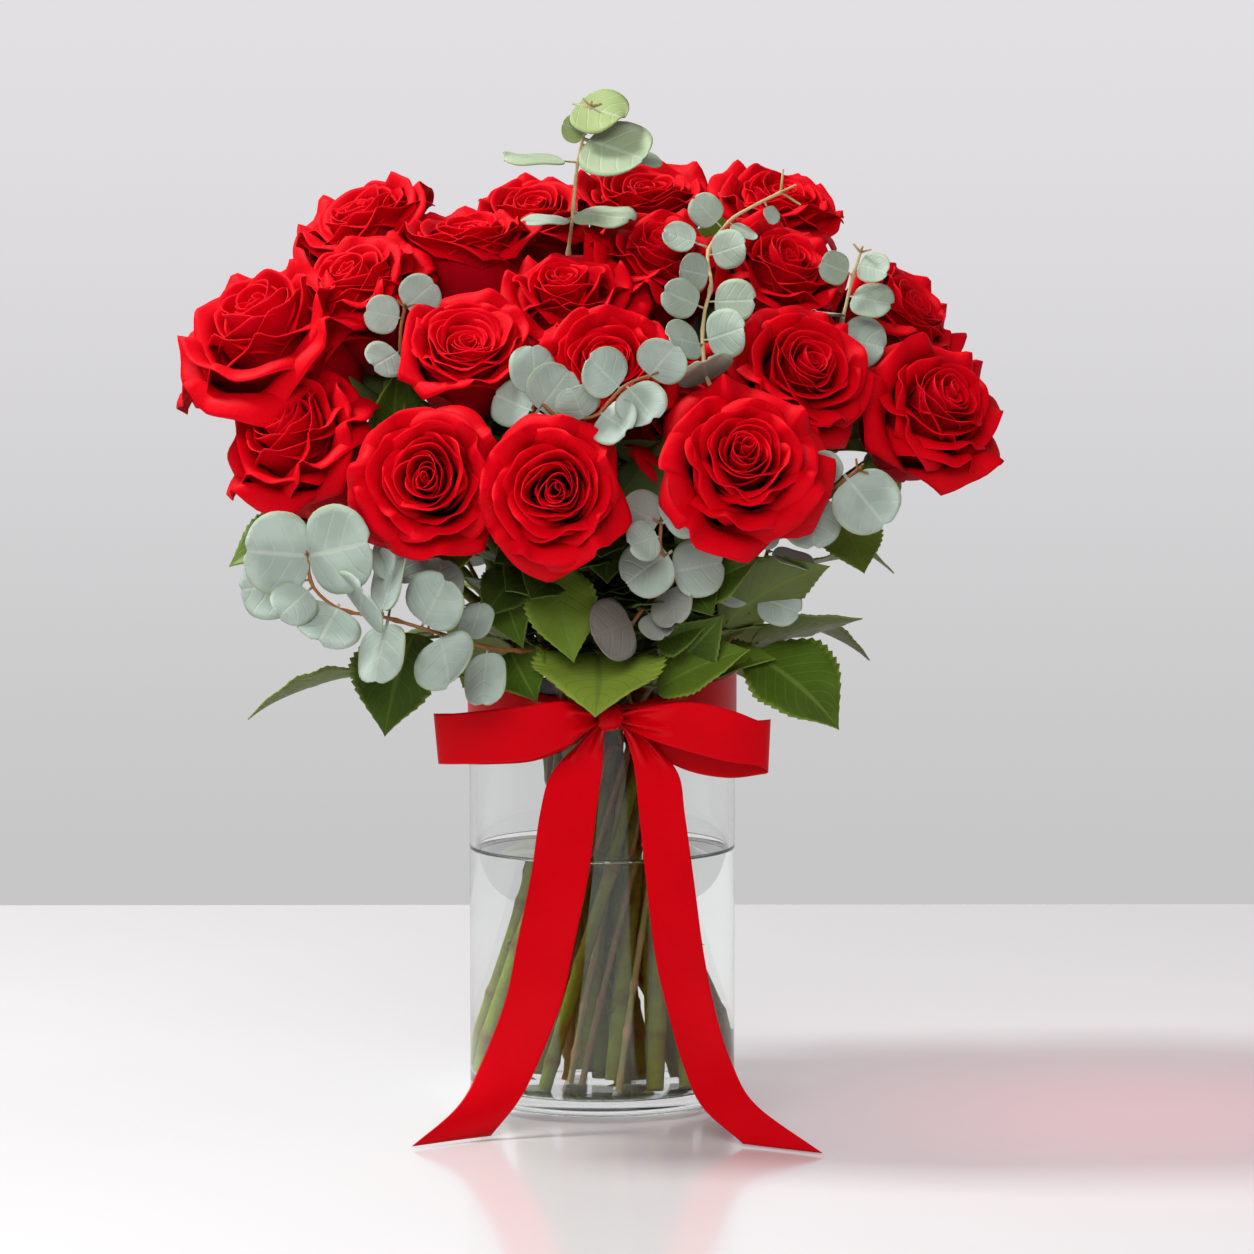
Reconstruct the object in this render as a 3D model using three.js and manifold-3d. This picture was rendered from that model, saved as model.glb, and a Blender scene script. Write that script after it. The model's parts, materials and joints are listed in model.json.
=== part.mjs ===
// A bouquet of red roses and eucalyptus standing in a glass cylinder of water, with a satin ribbon tied
// in a bow round the top of the glass.
// Millimetres, +Z up, the front of the bouquet faces -Y. The origin is the centre of the vase's underside.
import * as THREE from "three";
import { mergeVertices } from "three/addons/utils/BufferGeometryUtils.js";
import Module from "manifold-3d";

const wasm = await Module();
wasm.setup();

// ---- Driving dimensions ---------------------------------------------------------------------
const GAP = 0.35; // clearance that neighbouring pieces keep
const VASE = { radius: 60, wall: 3, floor: 6, height: 195, corner: 2.5, sides: 32 };
const WATER_LEVEL = 112;
const INNER_RADIUS = VASE.radius - VASE.wall;
const RIBBON = { width: 25, thickness: 0.8, bandTop: 191 };
const STEM = { radius: 3, sides: 6, steps: 8 };
const TWIG = { radius: 1.6, sides: 4, steps: 13, leafThickness: 1.2, leafSides: 7 };
const LEAF_THICKNESS = 1.2;
const PETIOLE = { radius: 1, sides: 4, into: 0.12 }; // it runs this share of the leaf's length into the blade
const LEAF_OUTLINE = [[0.22, 0.78], [0.45, 1], [0.75, 0.6]]; // shares of its length and of its half width
const LEAF_KEPT = 0.45; // a leaf that its neighbours leave less of than this is left out

// A bloom's outer shape: a deep cup that is widest a little above its middle, with a low crown.
// Each row is a radius and a height, as shares of its diameter.
const BLOOM_HEIGHT = 0.84;
const BLOOM_SIDES = 11;
const BLOOM_OUTLINE = [
  [0, 0],
  [0.3, 0.08],
  [0.45, 0.32],
  [0.5, 0.56],
  [0.44, 0.74],
  [0.25, BLOOM_HEIGHT],
  [0, BLOOM_HEIGHT],
];

// The stems cross in a spiral: three rings of straight lines that are narrowest at the waist height.
const WAIST_HEIGHT = 132;
const BEND_HEIGHT = 172; // the stems are straight up to here
const STEM_PULL = 0.38; // how far a rose stem keeps its direction at each end of its curve, of the distance
const TWIG_LEAD = 12; // a twig's curve begins this far below its bend
const NODES = [0.05, 0.12, 0.2, 0.28, 0.36, 0.45, 0.54, 0.63, 0.72, 0.8]; // shares of a rose stem's curve
const UPPER_NODE_HANDICAP = 60; // added to the distance of a node above the leaf
const RINGS = [
  { count: 5, waist: 6.8, foot: 13 },
  { count: 10, waist: 14.6, foot: 29 },
  { count: 18, waist: 23.8, foot: 48 },
];
const FOOT_HEIGHTS = [8, 10, 8.5, 15, 9, 8, 12, 9.5]; // most cut ends stand just off the floor of the vase

// Each rose: centre of its bloom x, y, z, the compass turn of its face from the front (+ is to the right),
// the lift of its face above level, and the bloom's diameter.
const ROSES = [
  [-147, -22, 335, -62, 42, 74],
  [-106, 24, 390, -55, 62, 64],
  [-108, -44, 362, -38, 55, 62],
  [-60, -6, 384, -12, 66, 62],
  [-58, -84, 338, -2, 46, 58],
  [-130, -72, 296, -38, 24, 66],
  [-72, -118, 282, -8, 14, 66],
  [-19, -126, 278, -4, 10, 62],
  [-14, -46, 356, -3, 58, 62],
  [3, -90, 330, 2, 32, 56],
  [58, -118, 289, 6, 24, 72],
  [84, -74, 326, 26, 30, 64],
  [144, -52, 310, 42, 18, 68],
  [24, -24, 374, 12, 55, 58],
  [76, -24, 366, 32, 46, 64],
  [80, 36, 400, 30, 62, 60],
  [20, 34, 403, 8, 66, 62],
  [-30, 38, 396, -14, 64, 58],
  [134, 14, 350, 62, 40, 60],
  [36, -62, 306, 0, 22, 58],
  [-118, 74, 336, -128, 34, 66],
  [-46, 98, 334, -166, 30, 68],
  [32, 100, 338, 166, 32, 66],
  [104, 80, 334, 126, 34, 66],
];

// Each eucalyptus branch: the points that its twig passes above the vase, up to its tip, and its leaves.
// Each leaf: its centre x, y, z, its half width, and the way its upper face looks.
const BRANCHES = [
  {
    points: [
      [-12, -8, 320], [-15, -14, 372], [-13, -22, 395], [-11, -26, 417], [-7, -28, 436],
      [-5, -28, 444],
    ],
    leaves: [
      [0, -30, 443, 13, 0.1, -0.9, 0.4],
      [-13, -29, 434, 5, 0, -1, 0.2],
      [5, -36, 424, 14, -0.2, -0.6, 0.8],
      [-27, -30, 420, 12, 0, -0.35, 1],
      [-25, -28, 395, 9, -0.3, -0.6, 0.8],
      [2, -30, 398, 12, 0.3, -0.7, 0.6],
    ],
  },
  {
    points: [
      [62, -66, 262], [67, -84, 290], [58, -94, 312], [46, -97, 323], [43, -92, 340],
      [44, -84, 354], [47, -76, 366], [46, -66, 380], [55, -56, 393], [66, -51, 400],
      [78, -48, 406],
    ],
    leaves: [
      [54, -72, 381, 8, 0.4, -1, 0.2],
      [40, -78, 371, 8, -0.1, -1, 0.2],
      [34, -86, 360, 8, -0.1, -1, 0.3],
      [56, -86, 359, 9, 0.1, -1, 0.2],
      [35, -99, 342, 9, -0.3, -1, 0.5],
      [52, -99, 345, 10, 0.1, -1, 0.2],
      [44, -101, 329, 12, 0, -1, 0.1],
      [45, -58, 398, 7, -0.4, -1, 0],
      [61, -58, 389, 6, 0.1, -0.3, 1],
      [31, -64, 387, 7, 0.1, -1, 0.5],
      [74, -50, 396, 4, 0, -0.5, 1],
    ],
  },
  {
    points: [
      [88, -26, 280], [97, -38, 312], [102, -46, 338], [107, -46, 358], [109, -46, 367],
      [113, -46, 380],
    ],
    leaves: [
      [102, -50, 373, 7, -0.1, -1, 0.3],
      [118, -50, 373, 7, 0.1, -1, 0.3],
      [117, -50, 359, 9, 0.3, -0.8, 0.5],
      [99, -52, 353, 7, -0.5, -0.4, 0.8],
      [113, -48, 341, 11, 0.1, -1, 0.3],
      [94, -42, 344, 7, -0.5, -1, 0.2],
    ],
  },
  {
    points: [
      [-28, -108, 306], [-16, -120, 309], [-3, -128, 311], [2, -128, 316], [10, -128, 324],
      [20, -124, 328],
    ],
    leaves: [
      [-29, -112, 329, 9, 0.3, -1, 0.1],
      [-37, -108, 316, 9, -0.3, -1, 0.3],
      [-21, -118, 321, 10, 0.4, -1, 0.1],
      [-10, -130, 316, 8, -0.1, -1, 0.2],
      [1, -132, 329, 9, 0, -1, 0.2],
      [5, -136, 309, 9, 0, -1, 0.1],
      [16, -134, 317, 9, 0.1, -1, 0.1],
      [25, -128, 334, 9, 0.1, -1, 0.2],
    ],
  },
  {
    points: [
      [-18, -42, 203], [-34, -78, 208], [-49, -96, 211], [-71, -108, 221], [-93, -116, 226],
      [-114, -120, 232], [-127, -118, 234], [-137, -116, 226],
    ],
    leaves: [
      [-113, -116, 253, 16, 0.1, -1, 0.25],
      [-133, -110, 251, 13, -0.1, -1, 0.2],
      [-143, -110, 239, 10, -0.2, -1, 0.1],
      [-122, -126, 243, 8, -0.2, -1, 0.4],
      [-119, -124, 219, 10, -0.1, -1, 0],
      [-101, -128, 235, 14, -0.5, -1, 0.1],
      [-86, -114, 242, 15, -0.9, -0.5, 0.1],
      [-91, -116, 212, 14, -0.9, -0.7, 0.3],
      [-69, -116, 234, 12, -0.35, -1, 0.1],
      [-68, -114, 208, 12, -0.3, -1, 0],
      [-51, -98, 196, 10, -0.7, -0.8, 0.1],
      [-50, -98, 220, 8, -0.6, -1, 0.2],
      [-132, -120, 221, 5, -0.3, -1, 0.2],
    ],
  },
  {
    points: [
      [6, -40, 200], [10, -70, 214], [21, -84, 231], [31, -92, 240], [25, -108, 254],
      [25, -114, 265],
    ],
    leaves: [
      [17, -112, 269, 8, -0.2, -1, 0.1],
      [20, -104, 246, 10, 0, -1, 0.2],
      [18, -118, 258, 7, -0.1, -1, 0.1],
      [33, -119, 270, 9, 0.1, -1, 0.2],
      [40, -95, 245, 10, 0.1, -1, 0.1],
      [30, -94, 229, 8, -0.4, -1, 0.1],
      [5, -86, 218, 11, 0, -1, 0.1],
      [24, -90, 219, 6, 0.2, -1, 0.1],
    ],
  },
  {
    points: [
      [58, -60, 214], [66, -74, 232], [72, -86, 254], [79, -94, 267], [98, -110, 280],
      [108, -114, 288],
    ],
    leaves: [
      [111, -115, 275, 14, 0.1, -1, 0.2],
      [93, -112, 287, 9, -0.4, -1, 0.2],
      [89, -104, 266, 12, 0.1, -1, 0.1],
      [70, -92, 262, 9, -0.2, -1, 0.3],
      [81, -86, 248, 9, 0, -0.4, 1],
      [76, -76, 228, 9, 0.3, -1, 0.2],
      [58, -76, 236, 9, 0, -1, 0.1],
    ],
  },
  {
    points: [[-72, -44, 270], [-84, -54, 300], [-87, -63, 330], [-87, -68, 346], [-85, -70, 356]],
    leaves: [
      [-79, -71, 361, 9, 0.3, -1, 0.3],
      [-94, -72, 353, 8, -0.5, -1, 0.2],
      [-93, -74, 334, 9, -0.2, -1, 0.1],
    ],
  },
  {
    points: [[-14, 62, 236], [-34, 92, 246], [-58, 116, 258], [-80, 128, 274]],
    leaves: [
      [-22, 74, 226, 13, -0.3, 1, 0.1],
      [-20, 84, 256, 13, 0.1, 1, 0.3],
      [-40, 98, 232, 14, -0.2, 1, 0],
      [-42, 108, 264, 13, 0.2, 1, 0.3],
      [-62, 120, 244, 12, -0.3, 1, 0],
      [-66, 122, 272, 11, 0.1, 1, 0.2],
      [-88, 130, 284, 9, -0.2, 1, 0.2],
    ],
  },
];

// Each rose leaf: its base, its tip, its width and the way its upper face looks.
const LEAVES = [
  { base: [-82, -62, 214], tip: [-94, -84, 171], width: 42, face: [-0.2, -1, 0.5] },
  { base: [-108, -40, 194], tip: [-156, -58, 177], width: 30, face: [-0.3, 0.3, 1] },
  { base: [-122, -34, 262], tip: [-164, -50, 243], width: 30, face: [-0.4, -1, 0.6] },
  { base: [-4, -60, 206], tip: [-3, -102, 186], width: 50, face: [0, -0.45, 1] },
  { base: [52, -72, 218], tip: [98, -98, 246], width: 32, face: [0.3, 1, 0.9] },
  { base: [66, -46, 208], tip: [114, -58, 220], width: 28, face: [0, 0.4, 1] },
  { base: [66, -54, 204], tip: [103, -74, 173], width: 44, face: [0.4, -1, 0.5] },
  { base: [104, -54, 264], tip: [114, -70, 241], width: 28, face: [0.2, -1, 0.3] },
  { base: [28, -68, 196], tip: [66, -80, 216], width: 22, face: [-0.2, -0.8, 0.9] },
  { base: [-20, -76, 244], tip: [-12, -92, 204], width: 32, face: [0.1, -1, 0.3] },
  { base: [-46, -70, 240], tip: [-34, -88, 210], width: 22, face: [-0.3, -1, 0.3] },
  { base: [-92, -46, 298], tip: [-88, -70, 330], width: 26, face: [0.4, -1, 0.3] },
  { base: [42, -78, 234], tip: [66, -96, 248], width: 22, face: [0.2, -1, 0.4] },
  { base: [24, -66, 214], tip: [46, -82, 220], width: 24, face: [0.1, -1, 0.4] },
  { base: [-40, -62, 206], tip: [-28, -82, 186], width: 26, face: [-0.2, -1, 0.5] },
  { base: [-60, -74, 258], tip: [-78, -96, 238], width: 24, face: [-0.2, -1, 0.4] },
  { base: [-44, 62, 214], tip: [-66, 88, 176], width: 40, face: [-0.3, 1, 0.5] },
  { base: [48, 58, 212], tip: [72, 86, 178], width: 40, face: [0.3, 1, 0.5] },
  { base: [4, 66, 216], tip: [2, 104, 196], width: 40, face: [0, 0.5, 1] },
  { base: [82, 46, 232], tip: [126, 64, 240], width: 34, face: [0.3, 0.3, 1] },
  { base: [-84, 44, 236], tip: [-128, 62, 236], width: 34, face: [-0.3, 0.3, 1] },
  { base: [-76, 8, 208], tip: [-116, 16, 188], width: 34, face: [-0.5, 0.1, 1] },
  { base: [80, 4, 214], tip: [122, 10, 196], width: 34, face: [0.5, 0.1, 1] },
  { base: [34, 66, 250], tip: [58, 96, 232], width: 32, face: [0.2, 1, 0.5] },
  { base: [4, 66, 268], tip: [-10, 92, 244], width: 30, face: [-0.1, 1, 0.4] },
  { base: [98, 0, 256], tip: [132, 4, 236], width: 30, face: [0.8, 0, 0.7] },
];

// The ribbon's two free ends, from the knot to the table, and the two loops of its bow, from the front of the
// knot to its back. Each row is the ribbon's two edges at one place along it.
const TAILS = [
  [
    [[-2, -72, 176], [4, -72, 179]],
    [[-10, -70, 167], [1, -71, 171]],
    [[-22, -71, 154], [0, -71, 156]],
    [[-27, -73, 137], [-2, -72, 141]],
    [[-31, -75, 110], [-6, -75, 110]],
    [[-37, -81, 81], [-12, -81, 81]],
    [[-42, -87, 57], [-17, -87, 58]],
    [[-52, -98, 32], [-25, -94, 37]],
    [[-62, -111, 15], [-35, -101, 17]],
    [[-81, -128, 1], [-48, -105, 1]],
  ],
  [
    [[3, -72, 179], [9, -72, 176]],
    [[10, -71, 171], [21, -70, 168]],
    [[14, -71, 156], [33, -71, 154]],
    [[16, -72, 137], [36, -73, 136]],
    [[19, -75, 108], [40, -75, 107]],
    [[23, -82, 75], [44, -81, 77]],
    [[29, -90, 50], [49, -89, 52]],
    [[35, -98, 30], [56, -98, 31]],
    [[43, -109, 14], [66, -115, 16]],
    [[60, -123, 1], [93, -143, 1]],
  ],
];
const LOOPS = [
  [
    [[-3, -76, 181.5], [-2, -76, 175]],
    [[-16, -83, 186.5], [-14, -83, 168]],
    [[-32, -86, 185], [-31, -86, 161.5]],
    [[-50, -86, 183], [-49, -86, 160]],
    [[-66, -81, 181], [-64, -81, 159]],
    [[-73, -75, 180.5], [-71, -75, 158.5]],
    [[-68, -70, 180], [-66, -70, 158]],
    [[-50, -68, 180], [-48, -68, 157.5]],
    [[-30, -67, 181], [-29, -67, 159]],
    [[-14, -67, 182], [-13, -67, 166]],
    [[-3, -68, 181], [-3, -68, 176]],
  ],
  [
    [[9, -76, 181], [10, -76, 175]],
    [[22, -84, 185], [20, -84, 170.5]],
    [[40, -88, 186.5], [38, -88, 165]],
    [[56, -87, 183], [55, -87, 160.5]],
    [[68, -82, 178], [67, -82, 158.5]],
    [[73, -76, 178], [72, -76, 155]],
    [[69, -70, 177], [68, -70, 153]],
    [[55, -68, 176], [54, -68, 151.5]],
    [[36, -67, 178], [36, -67, 155]],
    [[18, -67, 180], [18, -67, 165]],
    [[9, -68, 181], [9, -68, 176]],
  ],
];
const KNOT = { centre: [3.5, -71, 178.5], halfSizes: [7, 11, 7.5], sides: 8, rows: 6 };

// ---- Small tools ----------------------------------------------------------------------------
const vec = (p) => new THREE.Vector3(...p);
const radians = THREE.MathUtils.degToRad;
const UP = new THREE.Vector3(0, 0, 1);

// A closed geometry as a manifold-3d solid, in its own coordinates after an optional matrix.
function solidOf(geometry, matrix = new THREE.Matrix4()) {
  const bare = geometry.clone().applyMatrix4(matrix);
  bare.deleteAttribute("normal");
  bare.deleteAttribute("uv");
  const merged = mergeVertices(bare, 1e-4);
  return new wasm.Manifold(
    new wasm.Mesh({
      numProp: 3,
      vertProperties: new Float32Array(merged.attributes.position.array),
      triVerts: new Uint32Array(merged.index.array),
    }),
  );
}

function geometryOf(solid) {
  const mesh = solid.getMesh();
  return new THREE.BufferGeometry()
    .setAttribute("position", new THREE.BufferAttribute(new Float32Array(mesh.vertProperties), 3))
    .setIndex(new THREE.BufferAttribute(new Uint32Array(mesh.triVerts), 1));
}

// A solid that is trimmed away altogether.
const NOTHING = solidOf(new THREE.BoxGeometry(1, 1, 1)).trimByPlane([0, 0, 1], 10);

// Whether the boxes round two solids meet.
const touches = (a, b) => {
  const p = a.boundingBox();
  const q = b.boundingBox();
  return [0, 1, 2].every((k) => p.min[k] <= q.max[k] && q.min[k] <= p.max[k]);
};

const largest = (solid) => solid.decompose().reduce((a, b) => (a.volume() >= b.volume() ? a : b), NOTHING);

// The solid with the room of its neighbours cut out of it. What is cut off altogether is dropped.
function clearOf(solid, neighbours) {
  return largest(neighbours.filter((n) => touches(solid, n)).reduce((left, n) => left.subtract(n), solid));
}

// A rod with a regular section along a curve.
function rodAlong(curve, radius, sides, steps) {
  const section = new THREE.Shape();
  for (let i = 0; i < sides; i += 1) {
    const turn = (2 * Math.PI * i) / sides;
    const [x, y] = [radius * Math.cos(turn), radius * Math.sin(turn)];
    if (i === 0) section.moveTo(x, y);
    else section.lineTo(x, y);
  }
  const options = { extrudePath: curve, steps, curveSegments: 1, bevelEnabled: false };
  return new THREE.ExtrudeGeometry(section, options);
}

// A matrix whose X axis points along direction, with its Z axis as near to upper as it can be.
function laidAlong(origin, direction, upper) {
  const x = direction.clone().normalize();
  const z = upper.clone().addScaledVector(x, -upper.dot(x));
  if (z.lengthSq() < 1e-6) z.set(0, 0, 1).addScaledVector(x, -x.z);
  z.normalize();
  return new THREE.Matrix4().makeBasis(x, z.clone().cross(x), z).setPosition(origin);
}

// ---- Stems: where each one stands in the spiral ---------------------------------------------
// The way a bloom looks, from its compass turn and its lift.
function facing(turn, lift) {
  const [a, e] = [radians(turn), radians(lift)];
  return new THREE.Vector3(Math.sin(a) * Math.cos(e), -Math.cos(a) * Math.cos(e), Math.sin(e));
}

const blooms = ROSES.map(([x, y, z, turn, lift, diameter]) => {
  const direction = facing(turn, lift);
  const base = new THREE.Vector3(x, y, z).addScaledVector(direction, -0.5 * BLOOM_HEIGHT * diameter);
  return { base, direction, diameter };
});

// What each stem has to reach: a bloom's base, or a branch's tip.
const targets = [
  ...blooms.map(({ base }) => base),
  ...BRANCHES.map(({ points }) => vec(points.at(-1))),
];

// Stems that reach far out stand in the outer ring, and each ring is filled in the order of the compass.
function spiralPlaces() {
  const reach = (i) => Math.hypot(targets[i].x, targets[i].y);
  const byReach = targets.map((_, i) => i).sort((a, b) => reach(a) - reach(b));
  const places = [];
  let taken = 0;
  for (const ring of RINGS) {
    const members = byReach.slice(taken, taken + ring.count);
    taken += ring.count;
    const compass = (i) => Math.atan2(targets[i].y, targets[i].x);
    members.sort((a, b) => compass(a) - compass(b));
    const spread = (2 * Math.PI) / members.length;
    const start = members.reduce((sum, i, j) => sum + compass(i) - j * spread, 0) / members.length;
    members.forEach((i, j) => {
      places[i] = { ring, angle: start + j * spread };
    });
  }
  return places;
}

const places = spiralPlaces();

// The straight line of stem i inside the vase: its foot, its bending point and its direction.
function lineOf(i) {
  const { ring, angle } = places[i];
  const footHeight = FOOT_HEIGHTS[i % FOOT_HEIGHTS.length];
  const slope = Math.sqrt(ring.foot ** 2 - ring.waist ** 2) / WAIST_HEIGHT;
  const turned = angle - Math.atan((slope * (BEND_HEIGHT - WAIST_HEIGHT)) / ring.waist);
  const at = (z) => {
    const run = slope * (z - WAIST_HEIGHT);
    return new THREE.Vector3(
      ring.waist * Math.cos(turned) - run * Math.sin(turned),
      ring.waist * Math.sin(turned) + run * Math.cos(turned),
      z,
    );
  };
  const [foot, bend] = [at(footHeight), at(BEND_HEIGHT)];
  return { foot, bend, direction: bend.clone().sub(foot).normalize() };
}

// A stem's path: straight up from its foot in the first of its steps, then along a curve.
class StemPath extends THREE.Curve {
  constructor(foot, curve, steps) {
    super();
    Object.assign(this, { foot, curve, straight: 1 / steps });
  }

  getPoint(t) {
    const start = this.curve.getPoint(0);
    if (t < this.straight) return this.foot.clone().lerp(start, t / this.straight);
    return this.curve.getPointAt(Math.min(1, (t - this.straight) / (1 - this.straight)));
  }

  getPointAt(t) {
    return this.getPoint(t);
  }

  getTangentAt(t) {
    return this.getTangent(t);
  }
}

function roseStemPath(i) {
  const { foot, bend, direction } = lineOf(i);
  const { base, direction: face } = blooms[i];
  const end = base.clone().addScaledVector(face, -GAP);
  const pull = STEM_PULL * bend.distanceTo(end);
  const upper = new THREE.CubicBezierCurve3(
    bend,
    bend.clone().addScaledVector(direction, pull),
    end.clone().addScaledVector(face, -pull),
    end,
  );
  return new StemPath(foot, upper, STEM.steps);
}

// The upper part of branch j's twig, from a little below the bend to its tip.
function twigCurve(j) {
  const { bend, direction } = lineOf(ROSES.length + j);
  const below = bend.clone().addScaledVector(direction, -TWIG_LEAD);
  return new THREE.CatmullRomCurve3([below, bend, ...BRANCHES[j].points.map(vec)]);
}

const branchPath = (j) => new StemPath(lineOf(ROSES.length + j).foot, twigCurve(j), TWIG.steps);

// ---- Vase and water -------------------------------------------------------------------------
function vase() {
  const { radius, wall, floor, height, corner, sides } = VASE;
  const profile = new THREE.Path();
  profile.moveTo(0, 0);
  profile.lineTo(radius - corner, 0);
  profile.quadraticCurveTo(radius, 0, radius, corner);
  profile.lineTo(radius, height - wall / 2);
  profile.absarc(radius - wall / 2, height - wall / 2, wall / 2, 0, Math.PI, false);
  profile.lineTo(radius - wall, floor + corner);
  profile.quadraticCurveTo(radius - wall, floor, radius - wall - corner, floor);
  profile.lineTo(0, floor);
  const geometry = new THREE.LatheGeometry(profile.getPoints(2), sides);
  return solidOf(geometry, new THREE.Matrix4().makeRotationX(Math.PI / 2));
}

function water(stems) {
  const { floor, corner, sides } = VASE;
  const radius = INNER_RADIUS - GAP;
  const bottom = floor + GAP;
  const profile = [
    [0, bottom],
    [radius - corner, bottom],
    [radius, bottom + corner],
    [radius, WATER_LEVEL],
    [0, WATER_LEVEL],
  ].map(([x, y]) => new THREE.Vector2(x, y));
  const geometry = new THREE.LatheGeometry(profile, sides);
  return clearOf(solidOf(geometry, new THREE.Matrix4().makeRotationX(Math.PI / 2)), stems);
}

// ---- Rose blooms, stems and leaves ----------------------------------------------------------
function bloom({ base, direction, diameter }, extra = 0) {
  const profile = BLOOM_OUTLINE.map(([r, h]) => {
    const outward = r > 0 ? extra : 0;
    const along = h === 0 ? -extra : h === BLOOM_HEIGHT ? extra : 0;
    return new THREE.Vector2(r * diameter + outward, h * diameter + along);
  });
  const bud = new THREE.LatheGeometry(profile, BLOOM_SIDES).rotateZ(-Math.PI / 2);
  return solidOf(bud, laidAlong(base, direction, UP));
}

function roseStem(i, extra = 0) {
  return solidOf(rodAlong(roseStemPath(i), STEM.radius + extra, STEM.sides, STEM.steps));
}

// The node of the rose stems that a leaf grows from: the nearest to its base, where one below it counts
// as nearer than one above it.
function nearestNode(base) {
  const nodes = blooms.flatMap((_, i) => {
    const { curve } = roseStemPath(i);
    return NODES.map((share) => {
      const point = curve.getPointAt(share);
      const handicap = point.z > base.z ? UPPER_NODE_HANDICAP : 0;
      return { stem: i, point, distance: point.distanceTo(base) + handicap };
    });
  });
  return nodes.reduce((a, b) => (a.distance <= b.distance ? a : b));
}

function leafBlade({ base, tip, width, face }) {
  const [from, to] = [vec(base), vec(tip)];
  const length = from.distanceTo(to);
  const half = width / 2;
  const edge = LEAF_OUTLINE.map(([along, across]) => new THREE.Vector2(along * length, across * half));
  const otherEdge = edge.toReversed().map(({ x, y }) => new THREE.Vector2(x, -y));
  const ends = [new THREE.Vector2(0, 0), new THREE.Vector2(length, 0)];
  const outline = new THREE.Shape([ends[0], ...edge, ends[1], ...otherEdge]);
  const plate = new THREE.ExtrudeGeometry(outline, { depth: LEAF_THICKNESS, bevelEnabled: false });
  plate.translate(0, 0, -LEAF_THICKNESS / 2);
  return solidOf(plate, laidAlong(from, to.clone().sub(from), vec(face)));
}

function leafWithPetiole(leaf, node) {
  const into = vec(leaf.base).lerp(vec(leaf.tip), PETIOLE.into);
  const petiole = rodAlong(new THREE.LineCurve3(node, into), PETIOLE.radius, PETIOLE.sides, 1);
  return leafBlade(leaf).add(solidOf(petiole));
}

// ---- Eucalyptus -----------------------------------------------------------------------------
// A round leaf is a flat ellipse that reaches from its own point of the twig to as far beyond its centre.
function roundLeaf([x, y, z, halfWidth, ...face], curve) {
  const centre = new THREE.Vector3(x, y, z);
  const at = nearestOnTwig(curve, centre);
  const reach = at.distanceTo(centre) + TWIG.radius;
  const disc = new THREE.CylinderGeometry(1, 1, TWIG.leafThickness, TWIG.leafSides).rotateX(Math.PI / 2);
  disc.scale(reach, halfWidth, 1);
  return solidOf(disc, laidAlong(centre, centre.clone().sub(at), vec(face)));
}

// The point nearest to target on the straight pieces that the twig along a curve is built of.
function nearestOnTwig(curve, target) {
  const ends = curve.getSpacedPoints(TWIG.steps - 1);
  const pieces = ends.slice(1).map((end, i) => new THREE.Line3(ends[i], end));
  const points = pieces.map((piece) => piece.closestPointToPoint(target, true, new THREE.Vector3()));
  return points.reduce((a, b) => (a.distanceTo(target) <= b.distanceTo(target) ? a : b));
}

function branch(j, extra = 0) {
  return solidOf(rodAlong(branchPath(j), TWIG.radius + extra, TWIG.sides, TWIG.steps));
}

// ---- Ribbon ---------------------------------------------------------------------------------
// An indexed closed surface as a solid, whichever way round its faces were listed.
function solidFromFaces(positions, faces) {
  const vertProperties = new Float32Array(positions);
  const build = (order) =>
    new wasm.Manifold(new wasm.Mesh({ numProp: 3, vertProperties, triVerts: new Uint32Array(order) }));
  const solid = build(faces);
  return solid.volume() > 0 ? solid : build(faces.toReversed());
}

// A strip of ribbon through the rows of its two edges, with its thickness square to its face.
function strip(rows, closed) {
  const half = RIBBON.thickness / 2;
  const middle = rows.map(([left, right]) => vec(left).lerp(vec(right), 0.5));
  const last = rows.length - 1;
  const [positions, faces] = [[], []];
  rows.forEach(([left, right], i) => {
    const before = middle[closed ? (i + last) % rows.length : Math.max(0, i - 1)];
    const after = middle[closed ? (i + 1) % rows.length : Math.min(last, i + 1)];
    const out = vec(right).sub(vec(left)).cross(after.clone().sub(before)).setLength(half);
    const corners = [vec(left).add(out), vec(right).add(out), vec(right).sub(out), vec(left).sub(out)];
    positions.push(...corners.flatMap((corner) => corner.toArray()));
  });
  const quad = (a, b, c, d) => faces.push(a, b, c, a, c, d);
  for (let i = 0; i < rows.length - (closed ? 0 : 1); i += 1) {
    const [here, there] = [4 * i, 4 * ((i + 1) % rows.length)];
    for (let k = 0; k < 4; k += 1) {
      const next = (k + 1) % 4;
      quad(here + k, here + next, there + next, there + k);
    }
  }
  if (!closed) {
    quad(3, 2, 1, 0);
    quad(4 * last, 4 * last + 1, 4 * last + 2, 4 * last + 3);
  }
  return solidFromFaces(positions, faces);
}

// An upright cylinder on the vase's axis.
function upright(radius, from, to) {
  const cylinder = new THREE.CylinderGeometry(radius, radius, to - from, VASE.sides).rotateX(Math.PI / 2);
  return solidOf(cylinder.translate(0, 0, (from + to) / 2));
}

// The ribbon is one length of satin: round the top of the vase, knotted at the front and tied in a bow.
function ribbon() {
  const { width, thickness, bandTop } = RIBBON;
  const inside = VASE.radius + GAP;
  const band = upright(inside + thickness, bandTop - width, bandTop);
  const loops = LOOPS.map((rows) => strip(rows, true));
  const tails = TAILS.map((rows) => strip(rows, false));
  const ball = new THREE.SphereGeometry(1, KNOT.sides, KNOT.rows);
  const knot = solidOf(ball.scale(...KNOT.halfSizes).translate(...KNOT.centre));
  const whole = [...loops, ...tails, knot].reduce((all, piece) => all.add(piece), band);
  return whole.subtract(upright(inside, 0, VASE.height));
}

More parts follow.
